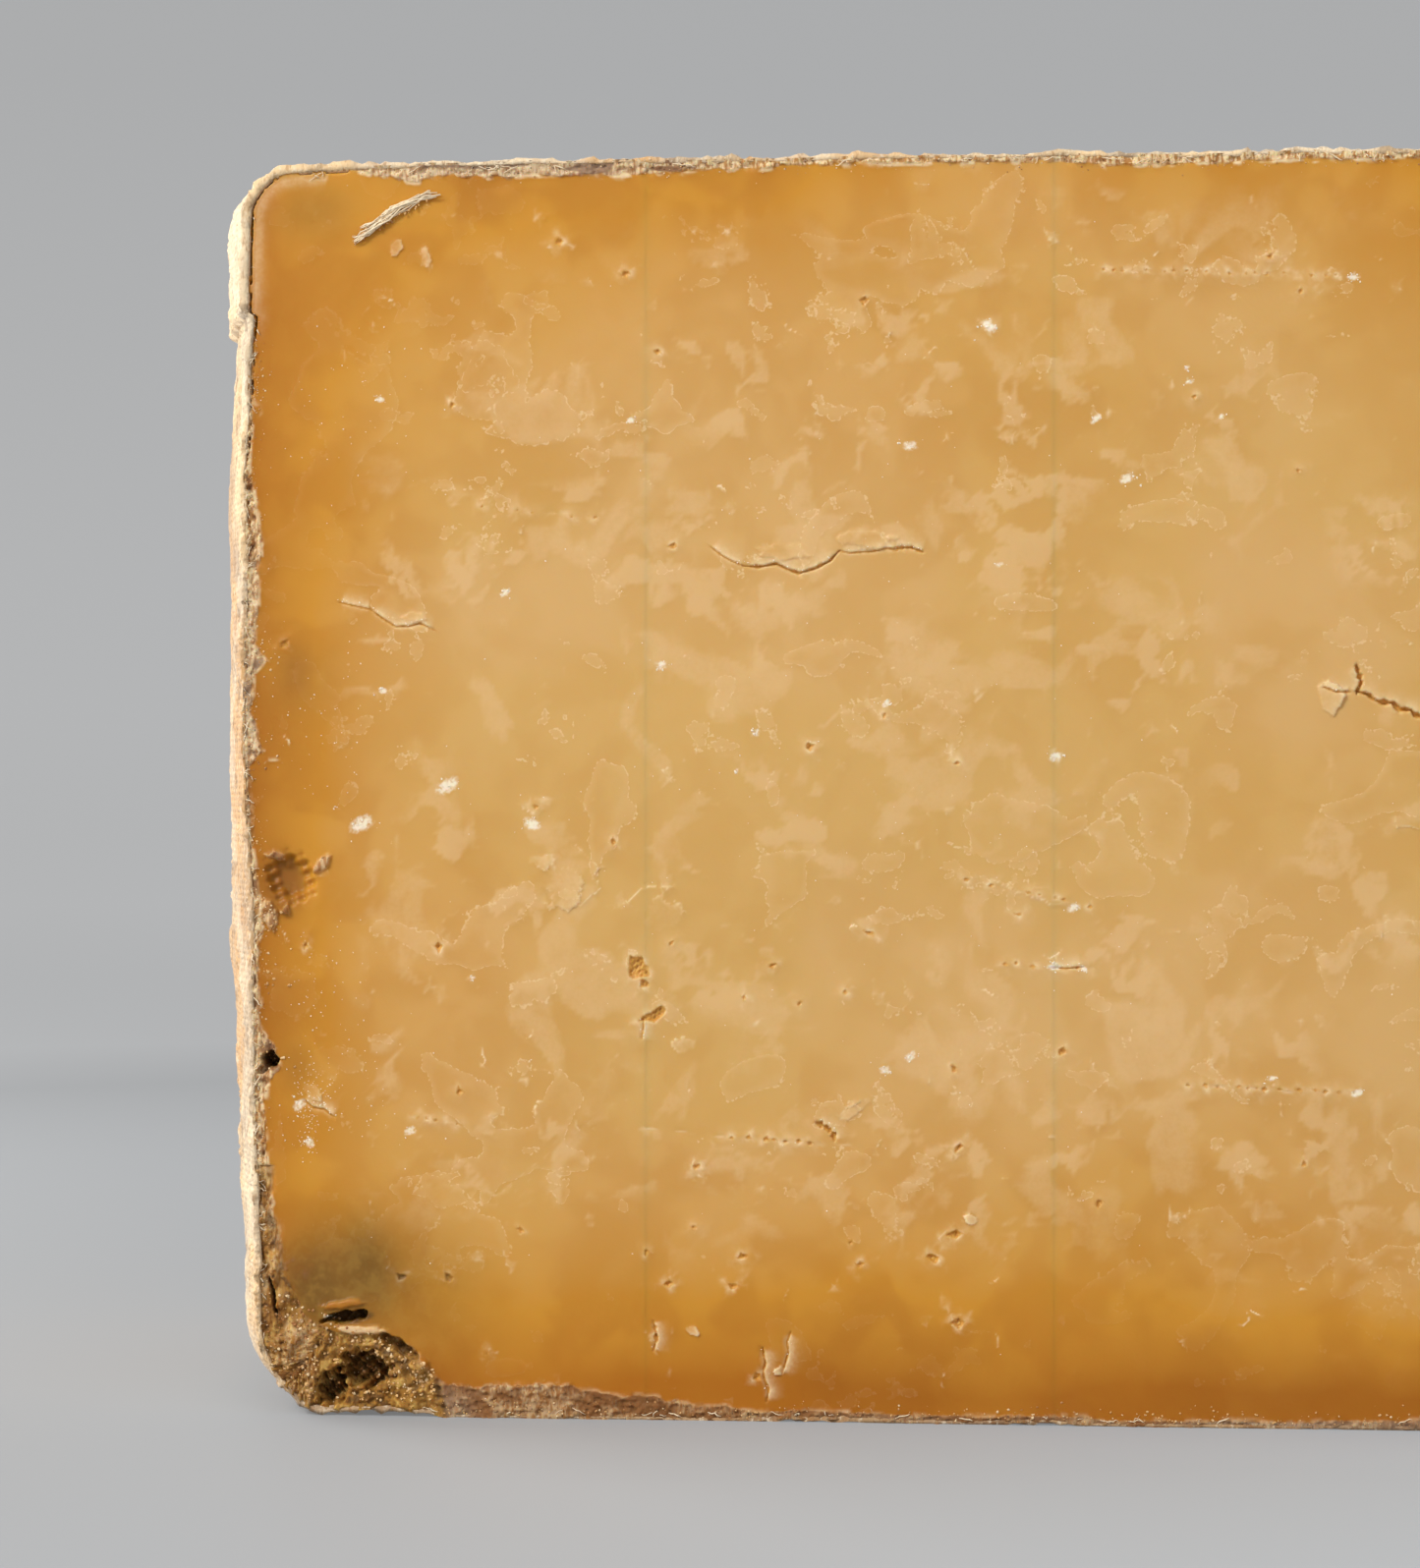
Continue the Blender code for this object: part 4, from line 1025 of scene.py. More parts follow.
class Rind:
    """The bound outside of the block: its ends, top and base, unrolled into one long strip.

    The strip runs up the left end, along the top, down the right end and back along the base,
    and goes from the front cut face to the back one, all in millimetres.
    """

    def __init__(self):
        chord_mm = HALF_CHORD / MM
        high = HEIGHT / MM
        runs = (
            ("rind_left_end", spaced(0, high, 0.36), lambda s: (-chord_mm, s)),
            ("rind_top", spaced(-chord_mm, chord_mm, 0.62), lambda s: (s, high)),
            ("rind_right_end", spaced(0, high, 0.52), lambda s: (chord_mm, high - s)),
            ("rind_base", spaced(-chord_mm, chord_mm, 0.9), lambda s: (-s, 0.0)),
        )
        self.pieces = []
        along = []
        spots = []
        start = 0.0
        for name, stations, placed in runs:
            first = len(along)
            for station in stations:
                along.append(start + station - stations[0])
                spots.append(placed(station))
            self.pieces.append((name, first, len(along)))
            start += stations[-1] - stations[0]
        self.along = np.array(along)
        self.spots = np.array(spots)
        deep = HALF_DEPTH / MM
        self.deep = np.concatenate((spaced(-deep, -deep + 1.2, 0.2), spaced(-deep + 1.2, -20, 0.36)[1:],
                                    spaced(-20, deep - 1.2, 0.78)[1:], spaced(deep - 1.2, deep, 0.3)[1:]))
        self.proud = self.relief()
        self.paints = {
            "stain": np.clip(0.5 + 0.6 * self.cloud(24, 31, octaves=3), 0, 1),
            "bloom": np.clip(0.5 + 0.6 * self.cloud(14, 33, octaves=4), 0, 1),
            "grey": np.clip(0.5 + 0.6 * self.cloud(7, 35, octaves=4), 0, 1),
            "spots": np.clip(0.5 + 0.6 * self.cloud(2.6, 37, octaves=3), 0, 1),
        }

    def cloud(self, length, salt, stretch=1.0, octaves=1):
        """Smooth noise over the strip, for its stations along and across."""
        return grainy(self.deep, self.along, length, 9000 + salt, octaves, stretch)

    def relief(self):
        """How proud of the solid the cloth lies: wrinkles, pleats, mouldy lumps and a frayed rim."""
        height = self.spots[:, 1][:, None]
        from_end = (HALF_CHORD / MM - np.abs(self.spots[:, 0]))[:, None]
        deep = self.deep[None, :]
        rim = HALF_DEPTH / MM - np.abs(deep)
        crossing = np.abs(self.cloud(7, 1, octaves=2))
        wrinkles = smooth(crossing, 0.10, 0.0) * smooth(self.cloud(14, 2), -0.1, 0.5)
        lumps = 0.12 * self.cloud(5, 3, octaves=3) + 0.08 * np.clip(self.cloud(1.6, 4, octaves=2), 0, 1)
        in_cap = smooth(height, 114.6, 115.4) * smooth(from_end, 16, 9) * np.ones_like(deep)
        phase = (deep + 1.1 * self.cloud(9, 5)) / 8.5
        fold = phase - np.floor(phase)
        pleats = in_cap * 0.42 * smooth(fold, 0.0, 0.12) * smooth(fold, 1.0, 0.35)
        frayed = 0.24 * self.cloud(0.9, 6, octaves=2) * smooth(rim, 4.0, 0.0)
        threads = 0.05 * self.cloud(0.5, 7, stretch=12)
        threads = threads + 0.10 * self.cloud(0.45, 8, octaves=2) * smooth(rim, 20, 4)
        total = 0.16 + lumps + 0.3 * wrinkles + pleats + frayed + threads
        return np.clip(total, -0.1, 1.2)

    def mesh(self, name, first, last):
        points = []
        rims = self.cloud(1.3, 20, octaves=2)[:, 0] * 0.16
        rows = range(first, last)
        for row in rows:
            x, z = self.spots[row]
            way_x, way_z = way_out(x * MM, z * MM)
            ring = [(0.55, -HALF_DEPTH / MM + 0.7, 0.0)]
            ring.append((0.22, -HALF_DEPTH / MM - 0.10 + rims[row] * 0.5, 0.0))
            for column, deep in enumerate(self.deep):
                ring.append((0.0, deep, self.proud[row, column]))
            ring.append((0.22, HALF_DEPTH / MM + 0.10, 0.0))
            ring.append((0.55, HALF_DEPTH / MM - 0.7, 0.0))
            for inward, deep, proud in ring:
                held = min(max(deep, -HALF_DEPTH / MM), HALF_DEPTH / MM) * MM
                point = shaped((x * MM, held, z * MM))
                out = (proud - inward) * MM
                point += Vector((way_x * out, deep * MM - held, way_z * out))
                point.z = max(point.z, 0.0)
                points.append(point)
        wide = len(self.deep) + 4
        count = last - first
        faces = []
        for row in range(count - 1):
            for column in range(wide - 1):
                corner = row * wide + column
                faces.append((corner, corner + wide, corner + wide + 1, corner + 1))
        mesh = bpy.data.meshes.new(name)
        mesh.from_pydata(points, [], faces)
        lies = mesh.attributes.new("lies", "FLOAT", "POINT")
        flat = [1.0 if name in ("rind_top", "rind_base") else 0.0] * len(points)
        lies.data.foreach_set("value", flat)
        for mask, painted in self.paints.items():
            wide_paint = np.pad(painted[first:last], ((0, 0), (2, 2)), mode="edge")
            layer = mesh.attributes.new(mask, "FLOAT", "POINT")
            layer.data.foreach_set("value", wide_paint.astype(np.float32).ravel())
        mesh.shade_smooth()
        thing = bpy.data.objects.new(name, mesh)
        bpy.context.scene.collection.objects.link(thing)
        print(name, "triangles", 2 * len(faces))
        return thing


def on_face(face, across, up, lift=0.0, side=-1):
    """The place on a cut face's relief, for small things that lie there."""
    step_across = face.across[1] - face.across[0]
    step_up = face.up[1] - face.up[0]
    column = min(max(int(round((across - face.across[0]) / step_across)), 0), len(face.across) - 1)
    row = min(max(int(round(up / step_up)), 0), len(face.up) - 1)
    x = -side * ((across - BULGE_SEEN) * MM - HALF_CHORD)
    point = shaped((x, side * HALF_DEPTH, up * MM))
    point.y += side * (face.relief[row, column] + lift) * MM
    return point


def grains(name, spots, shape=0, seed=0, flat=0.7):
    """One mesh of many small uneven lumps: each spot is a place and a size in millimetres, and each lump is
    jittered by a seeded draw.
    """
    draw = np.random.default_rng(seed)
    base = bmesh.new()
    if shape == 0:
        bmesh.ops.create_cube(base, size=1.4)
    else:
        bmesh.ops.create_icosphere(base, subdivisions=shape, radius=1.0)
    verts = np.array([vert.co for vert in base.verts])
    faces = [[vert.index for vert in face.verts] for face in base.faces]
    base.free()
    points = []
    rings = []
    for place, size in spots:
        turn = Vector(draw.uniform(-1, 1, 3)).to_track_quat("Z", "Y").to_matrix()
        scale = draw.uniform(0.6, 1.25, 3) * size * 0.5 * MM
        uneven = draw.uniform(0.55, 1.25, (len(verts), 1))
        shifted = verts * uneven * scale
        start = len(points)
        for part in shifted:
            moved = turn @ Vector(part)
            moved.y *= flat
            points.append(place + moved)
        rings.extend([start + index for index in face] for face in faces)
    mesh = bpy.data.meshes.new(name)
    mesh.from_pydata(points, [], rings)
    thing = bpy.data.objects.new(name, mesh)
    bpy.context.scene.collection.objects.link(thing)
    print(name, "triangles", sum(len(ring) - 2 for ring in rings))
    return thing


def strands(name, lines, sides=5):
    """One mesh of many thin threads: each line is a list of places and a radius in millimetres."""
    points = []
    faces = []
    for line, radius in lines:
        start = len(points)
        last = len(line) - 1
        for index, here in enumerate(line):
            way = (line[min(index + 1, last)] - line[max(index - 1, 0)]).normalized()
            across = way.orthogonal().normalized()
            beside = way.cross(across)
            size = radius * MM * (1.0 if 0 < index < last else 0.45)
            for corner in range(sides):
                angle = math.tau * corner / sides
                points.append(here + (across * math.cos(angle) + beside * math.sin(angle)) * size)
        for index in range(last):
            for corner in range(sides):
                a = start + index * sides + corner
                b = start + index * sides + (corner + 1) % sides
                faces.append((a, b, b + sides, a + sides))
        faces.append(tuple(start + corner for corner in reversed(range(sides))))
        faces.append(tuple(start + last * sides + corner for corner in range(sides)))
    mesh = bpy.data.meshes.new(name)
    mesh.from_pydata(points, [], faces)
    mesh.shade_smooth()
    thing = bpy.data.objects.new(name, mesh)
    bpy.context.scene.collection.objects.link(thing)
    print(name, "triangles", sum(len(face) - 2 for face in faces))
    return thing


def crystals(face):
    """White crystals in clusters, along cracks and strewn over the face."""
    draw = np.random.default_rng(51)
    spots = []
    for across, up, wide, count in CLUSTERS:
        for _ in range(count):
            x = across + draw.normal(0, wide * 0.26)
            z = up + draw.normal(0, wide * 0.16)
            spots.append((on_face(face, x, z, 0.0), draw.uniform(0.08, 0.30)))
    for path, _, _, _ in CRACKS:
        for start, end in zip(path[:-1], path[1:]):
            for _ in range(3):
                share = draw.random()
                x = start[0] + (end[0] - start[0]) * share + draw.normal(0, 0.25)
                z = start[1] + (end[1] - start[1]) * share + draw.uniform(0.1, 0.5)
                spots.append((on_face(face, x, z, 0.0), draw.uniform(0.08, 0.2)))
    for _ in range(160):
        x = draw.uniform(126, 212)
        z = draw.uniform(8, 122)
        for _ in range(int(draw.integers(1, 6))):
            place = on_face(face, x + draw.normal(0, 0.5), z + draw.normal(0, 0.3))
            spots.append((place, draw.uniform(0.08, 0.30)))
    return spots


def specks(face):
    """Tiny bright specks: thick on the left above the mouldy corner, thin elsewhere."""
    draw = np.random.default_rng(91)
    spots = []
    for across, up, wide, high, count in (
        (7.4, 31.6, 3.2, 7.0, 150), (12.5, 34.0, 10.0, 8.0, 70), (9.0, 44.0, 8.0, 8.0, 50),
        (12.0, 104.0, 12.0, 14.0, 60), (10.0, 72.0, 8.0, 12.0, 60), (64.0, 64.0, 56.0, 60.0, 260),
        (165.0, 64.0, 46.0, 60.0, 240),
    ):
        for _ in range(count):
            x = min(max(across + draw.normal(0, wide * 0.4), 2.5), 214)
            z = min(max(up + draw.normal(0, high * 0.4), 2.0), 127)
            spots.append((on_face(face, x, z, 0.0), draw.uniform(0.07, 0.17)))
    return spots


# Materials

class Value:
    """A shader socket on which Python's operators build maths."""

    def __init__(self, finish, socket):
        self.finish = finish
        self.socket = socket

    def _maths(self, operation, first, second=None):
        return self.finish.node("Math", {"operation": operation}, {0: first, 1: second})

    def __add__(self, other):
        return self._maths("ADD", self, other)

    def __radd__(self, other):
        return self._maths("ADD", other, self)

    def __sub__(self, other):
        return self._maths("SUBTRACT", self, other)

    def __rsub__(self, other):
        return self._maths("SUBTRACT", other, self)

    def __mul__(self, other):
        return self._maths("MULTIPLY", self, other)

    def __rmul__(self, other):
        return self._maths("MULTIPLY", other, self)

    def over(self, low, high):
        """0 at low, 1 at high, and smooth between them."""
        settings = {"interpolation_type": "SMOOTHSTEP"}
        return self.finish.node("MapRange", settings, {"Value": self, "From Min": low, "From Max": high})

    def even(self, low, high):
        """0 at low, 1 at high, and even between them."""
        return self.finish.node("MapRange", {}, {"Value": self, "From Min": low, "From Max": high})

    def at_most(self, other):
        return self._maths("MINIMUM", self, other)

    def at_least(self, other):
        return self._maths("MAXIMUM", self, other)

    def size(self):
        return self._maths("ABSOLUTE", self)

    def sine(self):
        return self._maths("SINE", self)


class Finish:
    """A node material in the making."""

    def __init__(self, name):
        self.material = bpy.data.materials.new(name)
        self.material.use_nodes = True
        self.tree = self.material.node_tree
        self.surface = self.tree.nodes["Principled BSDF"]

    def node(self, kind, settings, sockets, output=0):
        made = self.tree.nodes.new("ShaderNode" + kind)
        for key, value in settings.items():
            setattr(made, key, value)
        for key, value in sockets.items():
            if value is None:
                continue
            if isinstance(value, Value):
                self.tree.links.new(value.socket, made.inputs[key])
            else:
                made.inputs[key].default_value = value
        return Value(self, made.outputs[output])

    def place(self, stretch=(1, 1, 1), shift=0.0):
        """The surface point in millimetres, squeezed along an axis where stretch is above 1."""
        here = self.node("TexCoord", {}, {}, "Object")
        scale = tuple(1000 / part for part in stretch)
        offset = (shift, 1.7 * shift, 2.3 * shift)
        return self.node("VectorMath", {"operation": "MULTIPLY_ADD"}, {0: here, 1: scale, 2: offset})

    def grain(self, length, detail=3.0, rough=0.55, stretch=(1, 1, 1), shift=0.0):
        """Noise from 0 to 1 with the given length in millimetres."""
        sockets = {
            "Vector": self.place(stretch, shift), "Scale": 1 / length, "Detail": detail,
            "Roughness": rough,
        }
        return self.node("TexNoise", {"noise_dimensions": "3D"}, sockets, 0)

    def axis(self, index):
        """One coordinate of the surface point, in millimetres."""
        return self.node("SeparateXYZ", {}, {0: self.place()}, index)

    def mask(self, name):
        return self.node("Attribute", {"attribute_name": name}, {}, "Fac")

    def mix(self, share, first, second):
        """A colour between two, by a share."""
        sockets = {0: share, 6: rgba(first), 7: rgba(second)}
        return self.node("Mix", {"data_type": "RGBA"}, sockets, 2)

    def bump(self, height, strength, distance):
        sockets = {"Height": height, "Strength": strength, "Distance": distance * MM}
        return self.node("Bump", {}, sockets, 0)

    def set(self, **values):
        """Puts values and links on the surface shader."""
        for key, value in values.items():
            socket = self.surface.inputs[key.replace("_", " ")]
            if isinstance(value, Value):
                self.tree.links.new(value.socket, socket)
            elif socket.type == "RGBA":
                socket.default_value = rgba(value)
            else:
                socket.default_value = value


def rgba(colour):
    """A colour written as three parts of 255, as shown on a screen, in the shader's own terms."""
    if isinstance(colour, Value):
        return colour
    parts = []
    for part in colour:
        share = part / 255
        parts.append(share / 12.92 if share <= 0.04 else ((share + 0.055) / 1.055) ** 2.4)
    return (*parts, 1.0)


def paste_finish():
    """Mature cheddar, with its rind where the masks say so, and painted shade in its openings and along its
    base.
    """
    f = Finish("cheddar_paste")
    near = f.mask("near")
    warm = f.mask("warm")
    fresh = f.mask("fresh")
    milk = f.mask("milk")
    pale = f.mask("pale")
    hollow = f.mask("hollow")
    white = f.mask("white")
    crust = f.mask("crust")
    mould_and_shade = f.mask("mould_and_shade")
    brown = f.mask("brown")
    fine = f.grain(1.5, 2, 0.62)
    grit = f.grain(0.4, 1, 0.6)
    layer = f.grain(0.35, 1, 0.65, stretch=(1, 1, 4))
    # the paste's own tone, from the heart to the rind
    heart = f.mix(warm.over(0.3, 0.7), (211, 167, 97), (213, 169, 105))
    heart = f.mix(fresh.over(0.35, 0.75) * 0.35, heart, (206, 161, 90))
    deeper = f.mix(fresh.over(0.3, 0.7), (204, 142, 42), (197, 134, 38))
    deepest = f.mix(warm.over(0.3, 0.7), (176, 106, 10), (166, 99, 9))
    tone = near + (fresh - 0.5) * 0.10
    colour = f.mix(tone.even(0.0, 0.5), heart, deeper)
    colour = f.mix(tone.even(0.5, 1.0), colour, deepest)
    # milky pieces of curd: crisp on their outline, fading inwards, and soft clouds between them
    milky = (228, 190, 138)
    bright = (240, 212, 166)
    inner = 1 - near.over(0.15, 0.50) * 0.85
    uneven = fine * 0.7 + grit * 0.3
    colour = f.mix((milk * (0.35 + uneven * 1.3) * inner).over(0.05, 1.0) * 0.46, colour, milky)
    edge = f.mask("curd") + (fine - 0.5) * 1.1 + (grit - 0.5) * 0.2
    fill = edge.over(0.0, 0.07) * (1 - edge.over(0.1, 1.3) * 0.8)
    line = edge.over(-0.07, 0.0) * (1 - edge.over(0.04, 0.16)) * grit.over(0.45, 0.58)
    bits = f.mask("bits") + (fine - 0.5) * 1.3 + (grit - 0.5) * 0.3
    bit_fill = bits.over(0.0, 0.08) * (1 - bits.over(0.1, 0.9) * 0.7)
    bit_line = bits.over(-0.06, 0.0) * (1 - bits.over(0.04, 0.14)) * grit.over(0.45, 0.58)
    colour = f.mix(fill.at_least(bit_fill) * inner * 0.20, colour, milky)
    colour = f.mix(line.at_least(bit_line) * inner * 0.42, colour, bright)
    # painted features
    colour = f.mix((pale * (0.45 + fine * 0.6 + grit * 0.5)).over(0.08, 0.9) * 0.85, colour, (242, 216, 172))
    # painted shade: inside cracks, pits and other hollows the paste is painted a deeper orange, the warm
    # shade seen inside openings
    orange = f.mix(grit.over(0.35, 0.6), (190, 124, 30), (216, 156, 66))
    colour = f.mix(hollow * (1 - mould_and_shade) * 0.85, colour, orange)
    olive = f.mix(fine.over(0.35, 0.65), (92, 64, 16), (132, 98, 36))
    colour = f.mix((mould_and_shade * (0.6 + fine * 0.8)).at_most(1.0) * 0.85, colour, olive)
    bark = f.mix(layer.over(0.35, 0.62), (178, 124, 68), (238, 206, 158))
    bark = f.mix(brown.over(0.25, 0.85), bark, (128, 80, 40))
    # painted shade: the crust darkens over its bottom few millimetres, a contact shadow at the base
    bark = f.mix((1 - f.axis(2).over(1.5, 6.0)) * 0.6, bark, (136, 90, 46))
    bark = f.mix(warm.over(0.5, 0.8) * 0.35, bark, (190, 172, 148))
    # the golden crust's own olive tones, with its lightest flecks as painted highlights
    golden = f.mix(fine.over(0.34, 0.50), (96, 62, 14), (160, 112, 40))
    golden = f.mix(fine.over(0.52, 0.66), golden, (206, 164, 86))
    bark = f.mix((mould_and_shade * 1.1).at_most(1.0) * 0.9, bark, golden)
    bark = f.mix(grit.over(0.62, 0.74) * 0.7, bark, (74, 46, 22))
    colour = f.mix(crust, colour, bark)
    colour = f.mix(brown * (1 - crust) * 0.7, colour, (122, 66, 18))
    # painted shade: hollows are darkened towards black where the mould and brown masks lie over them, for
    # the shade deep inside
    deep = hollow * (mould_and_shade + brown * 0.35).at_most(1.0)
    colour = f.mix(deep * 0.85, colour, (62, 38, 14))
    sugary = (white * (0.3 + grit * 1.4)).over(0.25, 0.75)
    colour = f.mix(sugary * 0.85, colour, (250, 238, 214))
    height = fine * 0.24 + grit * 0.12 + crust * layer * 2.2
    rough = 0.40 + fine * 0.16 + crust * 0.3 + pale * 0.10
    f.set(Base_Color=colour, Roughness=rough, Normal=f.bump(height, 0.55, 0.12))
    f.set(Subsurface_Weight=0.4, Subsurface_Radius=(1.0, 0.45, 0.16), Subsurface_Scale=1.8 * MM)
    f.set(Specular_IOR_Level=0.28)
    return f.material


def cloth_finish():
    """Cheese bandage soaked with fat: woven threads, brown stains, grey mouldy patches and white bloom,
    darkened towards the base with painted shade.
    """
    f = Finish("bound_cloth")
    lies = f.mask("lies")
    x = f.axis(0)
    y = f.axis(1)
    z = f.axis(2)
    patch = f.grain(8, 3, 0.6, shift=3)
    fine = f.grain(1.4, 2, 0.6)
    grit = f.grain(0.35, 1, 0.6)
    fibre = f.grain(0.5, 2, 0.7, stretch=(1, 1, 3), shift=61)
    pitch = math.pi / 0.62
    wobble = (fine - 0.5) * 1.6
    upright = ((z * pitch + wobble).sine().size() * (1 - lies)) + ((x * pitch + wobble).sine().size() * lies)
    weave = upright.at_least((y * pitch + wobble).sine().size())
    cloth = f.mix(f.mask("stain").over(0.2, 0.8), (236, 202, 154), (214, 168, 114))
    cloth = f.mix(patch.over(0.52, 0.70) * 0.6, cloth, (176, 122, 70))
    cloth = f.mix((1 - weave.over(0.25, 0.75)) * 0.45, cloth, (140, 92, 50))
    bloom = (f.mask("bloom") + (patch - 0.5) * 1.2).over(0.45, 0.75)
    cloth = f.mix(bloom * (0.15 + fine * 0.5), cloth, (230, 216, 190))
    grey = (f.mask("grey") + (patch - 0.5) * 1.2 + (fine - 0.5)).over(0.6, 0.8)
    cloth = f.mix(grey * 0.35, cloth, (160, 144, 120))
    dark = (f.mask("spots") + (fine - 0.5) * 1.4).over(0.74, 1.1)
    cloth = f.mix(dark * 0.5, cloth, (122, 88, 54))
    cloth = f.mix(grit.over(0.62, 0.75) * 0.4, cloth, (242, 228, 200))
    # painted shade: the cloth darkens over its lowest ten millimetres, where the block shades itself near
    # the floor
    cloth = f.mix((1 - z.over(-1, 9)) * 0.65, cloth, (124, 82, 44))
    cloth = f.mix(fibre.over(0.52, 0.70) * 0.45, cloth, (250, 234, 204))
    cloth = f.mix((1 - fibre.over(0.30, 0.44)) * 0.5, cloth, (158, 106, 58))
    height = weave * 0.7 + fine * 0.9 + grit * 0.4 + fibre * 1.2
    f.set(Base_Color=cloth, Roughness=0.72 + fine * 0.2, Normal=f.bump(height, 0.7, 0.16))
    f.set(Specular_IOR_Level=0.25, Sheen_Weight=0.15)
    return f.material


def crystal_finish():
    f = Finish("lactate_crystal")
    fine = f.grain(0.4, 1)
    f.set(Base_Color=f.mix(fine, (252, 244, 226), (240, 220, 184)), Roughness=0.35 + fine * 0.2)
    return f.material


def crumb_finish():
    f = Finish("rind_crumb")
    fine = f.grain(0.8, 1)
    tone = f.grain(5, 2, shift=5)
    colour = f.mix(tone.over(0.4, 0.6), (222, 176, 112), (168, 112, 58))
    colour = f.mix(fine.over(0.5, 0.65), colour, (234, 206, 160))
    f.set(Base_Color=colour, Roughness=0.6 + fine * 0.2)
    return f.material


def thread_finish():
    f = Finish("cloth_thread")
    fine = f.grain(0.6, 1)
    f.set(Base_Color=f.mix(fine, (250, 236, 206), (228, 196, 150)), Roughness=0.75 + fine * 0.1)
    f.set(Sheen_Weight=0.2)
    return f.material


def stage_finish():
    """Plain grey paper, a little brighter than its light alone would make it, and with painted light: a
    brighter, bluer band on the floor in front of the block.
    """
    f = Finish("studio_grey")
    x = f.axis(0)
    y = f.axis(1)
    z = f.axis(2)
    # painted light: in a band in front of the block the floor glows brighter and bluer, lifting the block's
    # own shadow and cancelling its warm bounce light there
    front = y.over(-300, -160) * (1 - y.over(-60, 0))
    floor = f.mix(x.even(-130, 10) * front, (104, 104, 104), (129, 137, 143))
    glow = f.mix(z.even(0.2, 3), floor, (130, 130, 130))
    glow = f.mix(z.even(3, 30), glow, (143, 143, 143))
    glow = f.mix(z.even(30, 90), glow, (147, 147, 147))
    glow = f.mix(z.even(150, 400), glow, (141, 141, 141))
    f.set(Base_Color=(131, 133, 135), Roughness=0.6, Specular_IOR_Level=0.3)
    f.set(Emission_Color=glow, Emission_Strength=1.0)
    f.material.cycles.emission_sampling = "NONE"
    return f.material


# Stage, light and camera

def bowl(material):
    """A floor that curves up into a wall all round, so that every side has the same plain ground."""
    flat = 0.45
    curve = 1.5
    height = 2.4
    profile = [(0.0, 0.0), (0.2, 0.0), (0.3, 0.0)]
    for index in range(25):
        angle = math.pi / 2 * index / 24
        profile.append((flat + curve * math.sin(angle), curve * (1 - math.cos(angle))))
    profile.append((flat + curve, height))
    mesh = bmesh.new()
    verts = [mesh.verts.new((radius, 0, z)) for radius, z in profile]
    edges = [mesh.edges.new(pair) for pair in zip(verts[:-1], verts[1:])]
    spun = {"axis": (0, 0, 1), "cent": (0, 0, 0), "steps": 96, "angle": math.tau, "use_duplicate": False}
    bmesh.ops.spin(mesh, geom=verts + edges, **spun)
    bmesh.ops.remove_doubles(mesh, verts=mesh.verts[:], dist=1e-5)
    bmesh.ops.recalc_face_normals(mesh, faces=mesh.faces[:])
    data = bpy.data.meshes.new("studio_floor")
    mesh.to_mesh(data)
    mesh.free()
    data.shade_smooth()
    data.materials.append(material)
    floor = bpy.data.objects.new("studio_floor", data)
    bpy.context.scene.collection.objects.link(floor)
    floor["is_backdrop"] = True


def lamp(name, place, target, size, power, colour=(1, 1, 1)):
    data = bpy.data.lights.new(name, "AREA")
    data.shape = "RECTANGLE"
    data.size, data.size_y = size
    data.energy = power
    data.color = colour
    thing = bpy.data.objects.new(name, data)
    thing.location = place
    thing.rotation_euler = (Vector(target) - Vector(place)).to_track_quat("-Z", "Y").to_euler()
    bpy.context.scene.collection.objects.link(thing)


def light_and_camera():
    scene = bpy.context.scene
    scene.view_settings.view_transform = "Standard"
    scene.view_settings.look = "None"
    world = bpy.data.worlds.new("studio")
    world.use_nodes = True
    world.node_tree.nodes["Background"].inputs["Color"].default_value = (1.0, 1.0, 1.0, 1)
    world.node_tree.nodes["Background"].inputs["Strength"].default_value = 0.45
    scene.world = world
    lamp("key", (-0.75, -0.75, 0.8), (-0.03, 0, 0.06), (0.35, 0.35), 13.0)
    lamp("fill", (0.7, -0.9, 0.6), (0.0, 0, 0.06), (0.9, 0.9), 2.5)
    lamp("side", (-0.5, 0.18, 0.25), (-0.1, 0, 0.07), (0.25, 0.4), 2.0)
    camera = bpy.data.objects.new("camera", bpy.data.cameras.new("camera"))
    axis_x = -HALF_CHORD + (AXIS_ACROSS - BULGE_SEEN) * MM
    away_x = CAMERA_AWAY * math.sin(CAMERA_TURN)
    away_y = CAMERA_AWAY * math.cos(CAMERA_TURN)
    camera.location = (axis_x + away_x, -HALF_DEPTH - away_y, CAMERA_UP)
    camera.rotation_euler = (math.pi / 2, 0, CAMERA_TURN)
    camera.data.sensor_width = SENSOR
    camera.data.lens = FOCAL_PIXELS * SENSOR / FRAME_HIGH
    camera.data.clip_start = 0.01
    camera.data.clip_end = 20
    scene.collection.objects.link(camera)
    scene.camera = camera


def put(thing, material, replaces=False):
    """Give a piece its material and its body."""
    thing.data.materials.append(material)
    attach(thing, "root")
    if replaces:
        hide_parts("cheddar_block")


